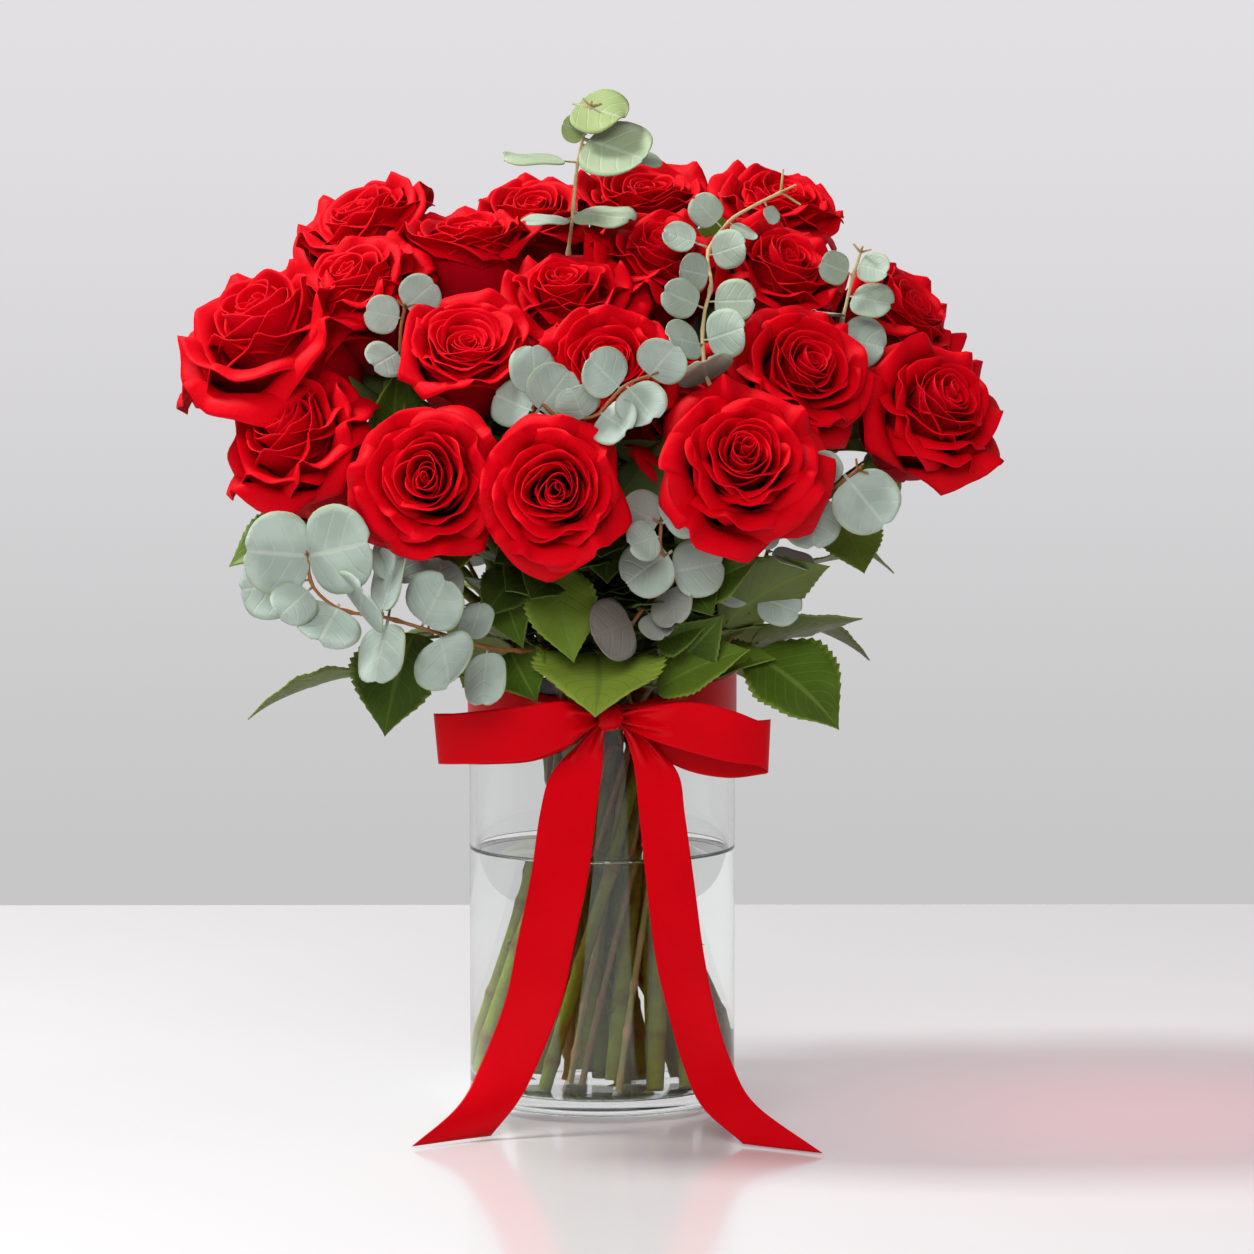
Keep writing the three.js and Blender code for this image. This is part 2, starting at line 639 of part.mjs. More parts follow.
// ---- The bouquet, put together --------------------------------------------------------------
const COLOURS = {
  glass: { color: 0xe8f0f0, roughness: 0.05, metalness: 0, transparent: true, opacity: 0.35 },
  water: { color: 0xdfe9e6, roughness: 0.05, metalness: 0, transparent: true, opacity: 0.35 },
  petal: { color: 0xd0021b, roughness: 0.6, metalness: 0 },
  stem: { color: 0x5a7a32, roughness: 0.55, metalness: 0 },
  eucalyptus: { color: 0xa7b9ae, roughness: 0.7, metalness: 0 },
  ribbon: { color: 0xd80a1c, roughness: 0.4, metalness: 0 },
};

const bouquet = new THREE.Group();

function addPiece(name, solid, finish) {
  const mesh = new THREE.Mesh(geometryOf(solid), new THREE.MeshStandardMaterial(COLOURS[finish]));
  mesh.name = name;
  bouquet.add(mesh);
}

const numbered = (i) => String(i + 1).padStart(2, "0");

// Each list below holds the room that a piece takes with its clearance, for the pieces that come after it.
const stemRooms = blooms.map((_, i) => roseStem(i, GAP));
const twigRooms = BRANCHES.map((_, j) => branch(j, GAP));
const bloomRooms = blooms.map((b) => bloom(b, GAP));
const glassRoom = upright(VASE.radius + 2 * GAP, 0, VASE.height + GAP);

// A leaf is left out when its neighbours would take much of it.
function leafThatFits(leaf, neighbours) {
  const free = clearOf(leaf, neighbours);
  return free.volume() > LEAF_KEPT * leaf.volume() ? free : NOTHING;
}

const leafSolids = blooms.map(() => []);
const leafRooms = [];
for (const leaf of LEAVES) {
  const node = nearestNode(vec(leaf.base));
  const others = stemRooms.filter((_, i) => i !== node.stem);
  const whole = leafWithPetiole(leaf, node.point);
  const made = leafThatFits(whole, [...others, ...twigRooms, ...bloomRooms, ...leafRooms, glassRoom]);
  leafSolids[node.stem].push(made);
  leafRooms.push(made);
}

addPiece("vase", vase(), "glass");
addPiece("water", water([...stemRooms, ...twigRooms]), "water");
addPiece("ribbon", clearOf(ribbon(), leafRooms), "ribbon");
blooms.forEach((b, i) => {
  const otherStems = stemRooms.filter((_, k) => k !== i);
  const taken = [...otherStems, ...twigRooms, ...bloomRooms.slice(0, i)];
  addPiece(`rose_${numbered(i)}_bloom`, clearOf(bloom(b), taken), "petal");
});
blooms.forEach((_, i) => {
  const stem = clearOf(roseStem(i), stemRooms.slice(0, i));
  const leafy = leafSolids[i].reduce((all, leaf) => all.add(leaf), stem);
  addPiece(`rose_${numbered(i)}_stem`, largest(leafy), "stem");
});
const sprayRooms = [];
BRANCHES.forEach(({ leaves }, j) => {
  const stem = clearOf(branch(j), [...stemRooms, ...twigRooms.slice(0, j)]);
  const otherTwigs = twigRooms.filter((_, k) => k !== j);
  const taken = [...stemRooms, ...otherTwigs, ...bloomRooms, ...leafRooms, ...sprayRooms, glassRoom];
  const curve = twigCurve(j);
  const round = leaves.map((leaf) => leafThatFits(roundLeaf(leaf, curve), taken));
  const kept = largest(round.reduce((all, leaf) => all.add(leaf), stem));
  sprayRooms.push(kept);
  addPiece(`eucalyptus_${j + 1}`, kept, "eucalyptus");
});

export default bouquet;
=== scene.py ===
import json
import math

import bmesh
import bpy
import numpy as np
from mathutils import Matrix, Vector

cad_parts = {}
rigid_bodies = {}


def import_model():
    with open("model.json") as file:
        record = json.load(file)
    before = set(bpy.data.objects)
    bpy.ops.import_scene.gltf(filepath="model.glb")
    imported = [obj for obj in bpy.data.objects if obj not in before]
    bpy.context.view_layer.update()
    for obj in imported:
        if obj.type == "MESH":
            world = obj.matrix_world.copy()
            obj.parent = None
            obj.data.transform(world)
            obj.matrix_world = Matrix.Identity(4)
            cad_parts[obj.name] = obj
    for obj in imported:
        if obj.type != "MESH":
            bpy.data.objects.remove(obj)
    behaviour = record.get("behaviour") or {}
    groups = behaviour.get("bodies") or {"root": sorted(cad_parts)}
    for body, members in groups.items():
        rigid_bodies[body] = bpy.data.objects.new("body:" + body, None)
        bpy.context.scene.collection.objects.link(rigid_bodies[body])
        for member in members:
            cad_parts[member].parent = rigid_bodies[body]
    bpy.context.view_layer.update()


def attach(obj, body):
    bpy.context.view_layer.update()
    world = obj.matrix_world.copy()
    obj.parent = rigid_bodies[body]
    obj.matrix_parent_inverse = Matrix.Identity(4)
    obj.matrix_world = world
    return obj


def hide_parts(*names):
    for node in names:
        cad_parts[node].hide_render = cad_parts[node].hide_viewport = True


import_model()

# ---- Vase ----
# A round cylinder of clear glass, blown in one piece. Its base is thick, its inner corner is rounded, and
# its lip is fire-polished. It stands flat on the table and holds everything else.
MM = 0.001
VASE_RADIUS, VASE_WALL, VASE_FLOOR, VASE_HEIGHT = 60 * MM, 3 * MM, 6 * MM, 195 * MM
OUTER_CORNER, INNER_CORNER, LIP = 2.5 * MM, 5 * MM, VASE_WALL / 2
LATHE_SIDES = 128
SHADOW_TINT = (0.93, 0.95, 0.94, 1)


def put(tree, kind, sockets=(), **settings):
    """A new node. Each of its sockets takes a value, or a link from another node's socket."""
    made = tree.nodes.new(kind)
    for key, value in settings.items():
        setattr(made, key, value)
    for key, value in dict(sockets).items():
        if isinstance(value, bpy.types.NodeSocket):
            tree.links.new(value, made.inputs[key])
        else:
            made.inputs[key].default_value = value
    return made


def out(tree, kind, sockets=(), **settings):
    """The first output of a new node."""
    return put(tree, kind, sockets, **settings).outputs[0]


def ramp(value, low, high, to_low=0.0, to_high=1.0):
    """Takes value from low..high to to_low..to_high, with a soft start and end."""
    sockets = {"Value": value, 1: low, 2: high, 3: to_low, 4: to_high}
    return out(value.id_data, "ShaderNodeMapRange", sockets, interpolation_type="SMOOTHSTEP")


def object_place(tree):
    """Where a point lies in the object's own frame."""
    return put(tree, "ShaderNodeTexCoord").outputs["Object"]


def noise(vector, scale, detail=2.0):
    """A cloudy pattern."""
    return out(vector.id_data, "ShaderNodeTexNoise", {"Vector": vector, "Scale": scale, "Detail": detail})


def new_material(name, sockets):
    """A material, its node tree and its Principled shader."""
    material = bpy.data.materials.new(name)
    material.use_nodes = True
    tree = material.node_tree
    shader = tree.nodes["Principled BSDF"]
    for key, value in sockets.items():
        shader.inputs[key].default_value = value
    return material, tree, shader


def give(shader, label, value):
    """Leads a value into one of the shader's sockets."""
    shader.id_data.links.new(value, shader.inputs[label])


def give_relief(shader, height, strength, distance):
    """Lets a height stand up from the surface, without moving it."""
    sockets = {"Height": height, "Strength": strength, "Distance": distance}
    give(shader, "Normal", out(shader.id_data, "ShaderNodeBump", sockets))


def new_object(name, data):
    """An object in the scene, at the origin."""
    made = bpy.data.objects.new(name, data)
    bpy.context.scene.collection.objects.link(made)
    return made


def new_piece(name, mesh, material, slot, *cad_nodes):
    """A finished piece of the object, which stands for its CAD nodes."""
    piece = new_object(name, mesh)
    mesh.name = name
    mesh.materials.clear()
    mesh.materials.append(material)
    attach(piece, "root")
    if cad_nodes:
        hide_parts(*cad_nodes)
    return piece


def arc(centre, radius, first, last, steps):
    """Points of a profile, radius and height, along an arc. Angles are in degrees from outwards, up."""
    turns = np.radians(np.linspace(first, last, steps))
    return [(centre[0] + radius * math.cos(t), centre[1] + radius * math.sin(t)) for t in turns]


def held_straight(profile, guard=0.4 * MM):
    """The profile with extra points near both ends of its long straight runs, which keep them shaded flat."""
    points = [profile[0]]
    for before, after in zip(profile, profile[1:]):
        length = math.dist(before, after)
        if length > 8 * guard:
            for share in (guard / length, 1 - guard / length):
                points.append(tuple(a + share * (b - a) for a, b in zip(before, after)))
        points.append(after)
    return points


def turned(profile, sides=LATHE_SIDES):
    """A closed mesh turned on the Z axis from a profile that starts and ends on the axis."""
    ring = np.linspace(0, 2 * math.pi, sides, endpoint=False)
    inner = profile[1:-1]
    points = [(r * math.cos(t), r * math.sin(t), z) for r, z in inner for t in ring]
    points += [(0, 0, profile[0][1]), (0, 0, profile[-1][1])]
    first, last = len(points) - 2, len(points) - 1
    faces = []
    for k in range(sides):
        after = (k + 1) % sides
        faces.append((first, after, k))
        for row in range(0, (len(inner) - 1) * sides, sides):
            faces.append((row + k, row + after, row + sides + after, row + sides + k))
        top = (len(inner) - 1) * sides
        faces.append((last, top + k, top + after))
    mesh = bpy.data.meshes.new("turned")
    mesh.from_pydata(points, [], faces)
    mesh.shade_smooth()
    return mesh


def lets_light_in(tree, shader):
    """Light that only casts shadows goes straight through, so what stands inside is lit."""
    rays = put(tree, "ShaderNodeLightPath").outputs
    clear = out(tree, "ShaderNodeBsdfTransparent", {"Color": SHADOW_TINT})
    mixed = out(tree, "ShaderNodeMixShader", {0: rays["Is Shadow Ray"], 1: shader.outputs[0], 2: clear})
    tree.links.new(mixed, tree.nodes["Material Output"].inputs[0])


glass, tree, shader = new_material(
    "clear glass",
    {"Base Color": (0.985, 0.995, 0.99, 1), "Transmission Weight": 1.0, "IOR": 1.46},
)
# Blown glass is a little wavy, and handling leaves it very slightly dull in places.
place = object_place(tree)
give(shader, "Roughness", ramp(noise(place, 30.0, 4.0), 0.5, 0.8, 0.0, 0.035))
give_relief(shader, noise(place, 9.0, 1.0), 0.02, 0.01)
lets_light_in(tree, shader)

inside = VASE_RADIUS - VASE_WALL
vase_profile = [(0, 0)]
vase_profile += arc((VASE_RADIUS - OUTER_CORNER, OUTER_CORNER), OUTER_CORNER, -90, 0, 6)
vase_profile += arc((VASE_RADIUS - LIP, VASE_HEIGHT - LIP), LIP, 0, 180, 9)
vase_profile += arc((inside - INNER_CORNER, VASE_FLOOR + INNER_CORNER), INNER_CORNER, 0, -90, 8)
vase_profile += [(0, VASE_FLOOR)]
new_piece("vase_glass", turned(held_straight(vase_profile)), glass, "glass", "vase")

# ---- Water ----
# Clear still water to a little over half of the vase's height. It climbs the glass in a small rim. The stems
# stand in it.
WATER_LEVEL, WATER_CLIMB = 112 * MM, 1.8 * MM
OVERLAP = 0.05 * MM  # the water reaches this far into the glass, so that no film of air shows between them
water_radius = inside + OVERLAP
water_profile = [(0, VASE_FLOOR - OVERLAP)]
water_profile += arc((inside - INNER_CORNER, VASE_FLOOR + INNER_CORNER), INNER_CORNER + OVERLAP, -90, 0, 8)
water_profile += [(water_radius, WATER_LEVEL + WATER_CLIMB)]
water_profile += arc((water_radius - WATER_CLIMB, WATER_LEVEL + WATER_CLIMB), WATER_CLIMB, -10, -90, 6)
water_profile += [(0, WATER_LEVEL)]
clear_water, tree, shader = new_material(
    "clear water",
    {"Base Color": (0.97, 0.99, 0.98, 1), "Transmission Weight": 1.0, "IOR": 1.333, "Roughness": 0.0},
)
give_relief(shader, noise(object_place(tree), 14.0, 1.0), 0.015, 0.01)
lets_light_in(tree, shader)
new_piece("water_fill", turned(held_straight(water_profile)), clear_water, "water", "water")

# ---- Stems ----
# Twenty-four rose stems and nine eucalyptus twigs, cut to length and stood in the vase in a spiral. They
# cross at a waist above the water, lean on the rim, and curve up to their flowers. A rose stem has nodes and
# thorns.
ROSES = [  # centre of the bloom x, y, z, its face's turn from the front and lift above level, its diameter
    (-147, -22, 335, -62, 42, 74),
    (-106, 24, 390, -55, 62, 64),
    (-108, -44, 362, -38, 55, 62),
    (-60, -6, 384, -12, 66, 62),
    (-58, -84, 338, -2, 46, 58),
    (-130, -72, 296, -38, 24, 66),
    (-72, -118, 282, -8, 14, 66),
    (-19, -126, 278, -4, 10, 62),
    (-14, -46, 356, -3, 58, 62),
    (3, -90, 330, 2, 32, 56),
    (58, -118, 289, 6, 24, 72),
    (84, -74, 326, 26, 30, 64),
    (144, -52, 310, 42, 18, 68),
    (24, -24, 374, 12, 55, 58),
    (76, -24, 366, 32, 46, 64),
    (80, 36, 400, 30, 62, 60),
    (20, 34, 403, 8, 66, 62),
    (-30, 38, 396, -14, 64, 58),
    (134, 14, 350, 62, 40, 60),
    (36, -62, 306, 0, 22, 58),
    (-118, 74, 336, -128, 34, 66),
    (-46, 98, 334, -166, 30, 68),
    (32, 100, 338, 166, 32, 66),
    (104, 80, 334, 126, 34, 66),
]
SPRIGS = [  # the points of each twig above the vase; centre x, y, z, half width and upper side of each leaf
    ([(-12, -8, 320), (-15, -14, 372), (-13, -22, 395), (-11, -26, 417), (-7, -28, 436), (-5, -28, 444)],
     [(-2, -30, 442, 13, 0.1, -0.75, 0.7), (-12, -29, 434, 6, 0, -1, 0.2),
      (5, -36, 425, 16, -0.2, -0.6, 0.8), (-30, -30, 421, 13, 0, -0.35, 1),
      (-24, -28, 394, 10, -0.3, -0.4, 0.9), (0, -30, 396, 13, 0.3, -0.5, 0.9),
      (28, -28, 427, 4, 0.2, -1, 0.5), (31, -28, 418, 8, 0, -0.35, 1)]),
    ([(62, -66, 262), (67, -84, 290), (58, -94, 312), (46, -97, 323), (43, -92, 340), (44, -84, 354),
      (47, -76, 366), (46, -66, 380), (55, -56, 393), (66, -51, 400), (78, -48, 406)],
     [(54, -72, 381, 8, 0.4, -1, 0.2), (40, -78, 371, 8, -0.1, -1, 0.2), (34, -86, 360, 8, -0.1, -1, 0.3),
      (56, -86, 359, 9, 0.1, -1, 0.2), (35, -99, 342, 9, -0.3, -1, 0.5), (52, -99, 345, 10, 0.1, -1, 0.2),
      (44, -101, 329, 12, 0, -1, 0.1), (45, -58, 398, 7, -0.4, -1, 0), (61, -58, 389, 6, 0.1, -0.3, 1),
      (31, -64, 387, 7, 0.1, -1, 0.5), (74, -50, 396, 4, 0, -0.5, 1)]),
    ([(88, -26, 280), (97, -38, 312), (102, -46, 338), (107, -46, 358), (109, -46, 367), (113, -46, 380)],
     [(102, -50, 373, 7, -0.1, -1, 0.3), (118, -50, 373, 7, 0.1, -1, 0.3),
      (117, -50, 359, 9, 0.3, -0.8, 0.5), (99, -52, 353, 7, -0.5, -0.4, 0.8),
      (113, -48, 341, 11, 0.1, -1, 0.3), (94, -42, 344, 7, -0.5, -1, 0.2)]),
    ([(-28, -108, 306), (-16, -120, 309), (-3, -128, 311), (2, -128, 316), (10, -128, 324), (20, -124, 328)],
     [(-29, -112, 329, 9, 0.3, -1, 0.1), (-37, -108, 316, 9, -0.3, -1, 0.3),
      (-21, -118, 321, 10, 0.4, -1, 0.1), (-10, -130, 316, 8, -0.1, -1, 0.2),
      (1, -132, 329, 9, 0, -1, 0.2), (5, -136, 309, 9, 0, -1, 0.1), (16, -134, 317, 9, 0.1, -1, 0.1),
      (25, -128, 334, 9, 0.1, -1, 0.2)]),
    ([(-18, -42, 203), (-34, -78, 208), (-49, -96, 211), (-71, -112, 219), (-93, -118, 226),
      (-110, -120, 229), (-122, -121, 239), (-124, -122, 252)],
     [(-112, -127, 255, 17, 0.1, -1, 0.15), (-135, -124, 253, 16, -0.15, -1, 0.15),
      (-140, -114, 239, 13, -0.2, -1, 0.1), (-129, -129, 233, 9, -0.1, -1, 0.2),
      (-115, -128, 224, 13, 0.05, -1, 0.1), (-101, -130, 233, 14, -0.35, -1, 0.1),
      (-89, -118, 241, 15, -0.9, -0.5, 0.1), (-93, -122, 212, 14, -0.8, -0.7, 0.3),
      (-71, -122, 232, 12, -0.3, -1, 0.1), (-66, -122, 208, 13, -0.25, -1, 0),
      (-50, -100, 199, 11, -0.7, -0.8, 0.1), (-54, -100, 222, 8, -0.6, -1, 0.2),
      (-69, -104, 243, 10, 0.2, -1, 0.1), (-84, -104, 258, 11, 0, -1, 0.3)]),
    ([(6, -40, 200), (10, -70, 214), (21, -84, 231), (31, -92, 240), (25, -108, 254), (25, -114, 265)],
     [(17, -112, 269, 8, -0.2, -1, 0.1), (20, -104, 246, 10, 0, -1, 0.2),
      (18, -118, 258, 7, -0.1, -1, 0.1), (33, -119, 270, 9, 0.1, -1, 0.2),
      (40, -95, 245, 10, 0.1, -1, 0.1), (30, -94, 229, 8, -0.4, -1, 0.1), (5, -86, 218, 11, 0, -1, 0.1),
      (24, -90, 219, 6, 0.2, -1, 0.1)]),
    ([(58, -60, 214), (66, -74, 232), (72, -86, 254), (79, -94, 267), (98, -110, 280), (108, -114, 288)],
     [(111, -115, 275, 14, 0.1, -1, 0.2), (93, -112, 287, 9, -0.4, -1, 0.2),
      (89, -104, 266, 12, 0.1, -1, 0.1), (70, -92, 262, 9, -0.2, -1, 0.3), (81, -86, 248, 9, 0, -0.4, 1),
      (76, -76, 228, 9, 0.3, -1, 0.2), (58, -76, 236, 9, 0, -1, 0.1)]),
    ([(-72, -44, 270), (-84, -54, 300), (-87, -63, 330), (-87, -68, 346), (-85, -70, 356)],
     [(-79, -71, 361, 9, 0.3, -1, 0.3), (-94, -72, 353, 8, -0.5, -1, 0.2),
      (-93, -74, 334, 9, -0.2, -1, 0.1)]),
    ([(-14, 62, 236), (-34, 92, 246), (-58, 116, 258), (-80, 128, 274)],
     [(-22, 74, 226, 13, -0.3, 1, 0.1), (-20, 84, 256, 13, 0.1, 1, 0.3), (-40, 98, 232, 14, -0.2, 1, 0),
      (-42, 108, 264, 13, 0.2, 1, 0.3), (-62, 120, 244, 12, -0.3, 1, 0), (-66, 122, 272, 11, 0.1, 1, 0.2),
      (-88, 130, 284, 9, -0.2, 1, 0.2)]),
]
BLOOM_DEPTH = 0.84  # of its diameter, from its base to its crown
GAP = 0.35  # between a stem's end and its bloom, in mm
WAIST_HEIGHT, BEND_HEIGHT = 132, 172  # mm above the table, where the stems cross and where they start to bend
RINGS = [(5, 6.8, 13), (10, 14.6, 29), (18, 23.8, 48)]  # number of stems, the ring's radius at waist and foot
FOOT_HEIGHTS = [8, 10, 8.5, 15, 9, 8, 12, 9.5]  # of their cut ends, in turn
TWIG_LEAD = 12  # mm of a twig's straight part that its smooth part takes its direction from
NECK_PULL = 0.38  # how far a stem runs on in its direction before it bends, as a share of its way
# Blooms whose neck bends under their weight: turn and lift of the face, and how far they sink aside in mm.
BENT_NECKS = {
    0: (-46, 54, (6, -20, 1)),
    2: (-38, 55, (0, 10, 0)),
    3: (-12, 78, (0, 0, 0)),
    5: (-40, 40, (0, 0, 0)),
    12: (36, 30, (0, 0, 0)),
}


def facing(turn, lift):
    """The direction that a bloom looks in, from two angles in degrees."""
    turn, lift = math.radians(turn), math.radians(lift)
    return np.array([math.sin(turn) * math.cos(lift), -math.cos(turn) * math.cos(lift), math.sin(lift)])


faces_of_blooms = [facing(rose[3], rose[4]) for rose in ROSES]
bases_of_blooms = [
    np.array(rose[:3]) - 0.5 * BLOOM_DEPTH * rose[5] * face for rose, face in zip(ROSES, faces_of_blooms)
]
targets = bases_of_blooms + [np.array(points[-1], float) for points, _ in SPRIGS]


def places_in_the_spiral():
    """Ring and angle of each stem. Those that reach far out stand outside, each ring in compass order."""
    by_reach = sorted(range(len(targets)), key=lambda i: math.hypot(*targets[i][:2]))
    compass = [math.atan2(target[1], target[0]) for target in targets]
    places, taken = {}, 0
    for count, waist, foot in RINGS:
        members = sorted(by_reach[taken : taken + count], key=lambda i: compass[i])
        taken += count
        spread = 2 * math.pi / len(members)
        start = sum(compass[i] - j * spread for j, i in enumerate(members)) / len(members)
        for j, i in enumerate(members):
            places[i] = (waist, foot, start + j * spread)
    return places


places = places_in_the_spiral()
for i, (turn, lift, aside) in BENT_NECKS.items():
    faces_of_blooms[i] = facing(turn, lift)
    bases_of_blooms[i] = np.array(ROSES[i][:3]) + aside - 0.5 * BLOOM_DEPTH * ROSES[i][5] * faces_of_blooms[i]


def foot_and_bend(i):
    """The two ends of a stem's straight part, from its cut foot to where it starts to bend, in mm."""
    waist, foot, angle = places[i]
    slope = math.sqrt(foot**2 - waist**2) / WAIST_HEIGHT
    turned_to = angle - math.atan(slope * (BEND_HEIGHT - WAIST_HEIGHT) / waist)
    cosine, sine = math.cos(turned_to), math.sin(turned_to)

    def at(z):
        """The point of the straight part at a height."""
        run = slope * (z - WAIST_HEIGHT)
        return np.array([waist * cosine - run * sine, waist * sine + run * cosine, z])

    return at(FOOT_HEIGHTS[i % len(FOOT_HEIGHTS)]), at(BEND_HEIGHT)


def rose_line(i, steps=28):
    """The centre line of a rose's stem from its cut foot to the base of its bloom, in metres."""
    foot, bend = foot_and_bend(i)
    face = faces_of_blooms[i]
    end = bases_of_blooms[i] - GAP * face
    pull = NECK_PULL * np.linalg.norm(end - bend)
    rise = (bend - foot) / np.linalg.norm(bend - foot)
    corners = [bend, bend + rise * pull, end - face * pull, end]
    t = np.linspace(0, 1, steps)[:, None]
    curve = (1 - t) ** 3 * corners[0] + 3 * (1 - t) ** 2 * t * corners[1]
    curve = curve + 3 * (1 - t) * t**2 * corners[2] + t**3 * corners[3]
    return np.concatenate([foot[None, :], curve]) * MM


def smooth_line(points, steps=8):
    """A smooth curve through points, with steps to each stretch between two of them."""
    points = np.array(points, float)
    points = np.concatenate([[2 * points[0] - points[1]], points, [2 * points[-1] - points[-2]]])
    t = np.linspace(0, 1, steps, endpoint=False).reshape((-1,) + (1,) * (points.ndim - 1))
    parts = []
    for a, b, c, d in zip(points, points[1:], points[2:], points[3:]):
        square, cube = 2 * a - 5 * b + 4 * c - d, 3 * b - a - 3 * c + d
        parts.append(0.5 * (2 * b + (c - a) * t + square * t**2 + cube * t**3))
    return np.concatenate([*parts, points[-2][None]])


def twig_line(j):
    """The centre line of a eucalyptus twig from its cut foot to its tip, in metres."""
    foot, bend = foot_and_bend(len(ROSES) + j)
    rise = (bend - foot) / np.linalg.norm(bend - foot)
    upper = smooth_line([bend - TWIG_LEAD * rise, bend, *SPRIGS[j][0]])
    return np.concatenate([foot[None, :], upper]) * MM


def line_mesh(points):
    """A line of edges through points, for a Geometry Nodes tree to work on."""
    mesh = bpy.data.meshes.new("line")
    mesh.from_pydata([tuple(p) for p in points], [(k, k + 1) for k in range(len(points) - 1)], [])
    return mesh


def finished(carrier, tree, values):
    """The plain mesh that a Geometry Nodes tree makes from a carrier mesh. Labels tell its inputs."""
    holder = new_object("carrier", carrier)
    modifier = holder.modifiers.new("made", "NODES")
    modifier.node_group = tree
    for item in tree.interface.items_tree:
        if item.in_out == "INPUT" and item.name in values:
            modifier[item.identifier] = values[item.name]
    ready = holder.evaluated_get(bpy.context.evaluated_depsgraph_get())
    mesh = bpy.data.meshes.new_from_object(ready)
    bpy.data.objects.remove(holder)
    return mesh


def tree_of(values):
    """The node tree that these values come from."""
    return next(value.id_data for value in values if isinstance(value, bpy.types.NodeSocket))


def calc(operation, *values):
    """A calculation with values, of which at least one comes from a node."""
    return out(tree_of(values), "ShaderNodeMath", dict(enumerate(values)), operation=operation)


def times(first, second):
    return calc("MULTIPLY", first, second)


def plus(first, second):
    return calc("ADD", first, second)


def times_plus(first, second, third):
    return calc("MULTIPLY_ADD", first, second, third)


def blend(share, first, second):
    """The colour between two colours."""
    sockets = {0: share, 6: first, 7: second}
    return put(share.id_data, "ShaderNodeMix", sockets, data_type="RGBA").outputs[2]


def new_group(kind, name, inputs, outputs):
    """An empty node group, the sockets it is given and those it makes. A text names a kind of socket."""
    tree = bpy.data.node_groups.new(name, kind)
    for label, value in inputs.items():
        socket = {float: "Float", int: "Int"}.get(type(value), value)
        made = tree.interface.new_socket(label, in_out="INPUT", socket_type="NodeSocket" + socket)
        if socket != value:
            made.default_value = value
    for label, socket in outputs.items():
        tree.interface.new_socket(label, in_out="OUTPUT", socket_type="NodeSocket" + socket)
    return tree, tree.nodes.new("NodeGroupInput").outputs, tree.nodes.new("NodeGroupOutput").inputs


def new_shape_tree(name, **inputs):
    """A Geometry Nodes tree that takes a carrier mesh, its own inputs and a material."""
    inputs = {"Geometry": "Geometry", **inputs, "Material": "Material"}
    labelled = {label.replace("_", " "): value for label, value in inputs.items()}
    return new_group("GeometryNodeTree", name, labelled, {"Geometry": "Geometry"})


def end_shape_tree(geometry, given, made):
    """Ends the tree: its instances become plain geometry, which gets the material."""
    tree = geometry.id_data
    real = out(tree, "GeometryNodeRealizeInstances", {"Geometry": geometry})
    painted = out(tree, "GeometryNodeSetMaterial", {"Geometry": real, "Material": given["Material"]})
    tree.links.new(painted, made[0])


def both_shapes(first, second):
    """Two shapes as one."""
    both = put(first.id_data, "GeometryNodeJoinGeometry")
    both.id_data.links.new(first, both.inputs[0])
    both.id_data.links.new(second, both.inputs[0])
    return both.outputs[0]


# The tree makes a tapering stem along a line, swollen at its nodes, with thorns here and there.
stem_tree, given, made = new_shape_tree(
    "Stem",
    Radius=0.003,
    Taper=0.25,
    Node_Spacing=0.045,
    Node_Swelling=0.0006,
    Thorn_Length=0.004,
    Thorn_Share=0.45,
    Thorn_Spacing=0.03,
    Sides=12,
    Seed=0,
)
STEP_ALONG = 3.5 * MM
NODE_SHARPNESS = 60.0
THORN_LEAN = math.radians(100)
curve = out(stem_tree, "GeometryNodeMeshToCurve", {"Mesh": given["Geometry"]})
curve = out(stem_tree, "GeometryNodeResampleCurve", {"Curve": curve, "Length": STEP_ALONG}, mode="LENGTH")
share_along, length_along, _ = put(stem_tree, "GeometryNodeSplineParameter").outputs
thinned = times_plus(times(share_along, given["Taper"]), -1.0, 1.0)
seeded = times(given["Seed"], 0.37)
beat = plus(calc("DIVIDE", length_along, given["Node Spacing"]), seeded)
near_node = calc("POWER", calc("ABSOLUTE", calc("COSINE", times(beat, math.pi))), NODE_SHARPNESS)
radius = times_plus(near_node, given["Node Swelling"], times(given["Radius"], thinned))
curve = out(stem_tree, "GeometryNodeSetCurveRadius", {"Curve": curve, "Radius": radius})
for label, value in (("along", share_along), ("node", near_node)):
    sockets = {"Geometry": curve, "Name": label, "Value": value}
    curve = out(stem_tree, "GeometryNodeStoreNamedAttribute", sockets, data_type="FLOAT", domain="POINT")
sockets = {"Resolution": given["Sides"], "Radius": 1.0}
ring = out(stem_tree, "GeometryNodeCurvePrimitiveCircle", sockets, mode="RADIUS")
sockets = {"Curve": curve, "Profile Curve": ring, "Scale": radius, "Fill Caps": True}
tube = out(stem_tree, "GeometryNodeCurveToMesh", sockets)
tube = out(stem_tree, "GeometryNodeSetShadeSmooth", {"Geometry": tube})
sockets = {"Curve": curve, "Length": given["Thorn Spacing"]}
dots = put(stem_tree, "GeometryNodeCurveToPoints", sockets, mode="LENGTH").outputs
which = out(stem_tree, "GeometryNodeInputIndex")
sockets = {2: 0.0, 3: 2 * math.pi, "ID": which, "Seed": given["Seed"]}
round_it = put(stem_tree, "FunctionNodeRandomValue", sockets, data_type="FLOAT").outputs[1]
spin = out(stem_tree, "ShaderNodeCombineXYZ", {2: round_it})
sockets = {0: dots["Rotation"], 1: spin}
aimed = out(stem_tree, "FunctionNodeRotateRotation", sockets, rotation_space="LOCAL")
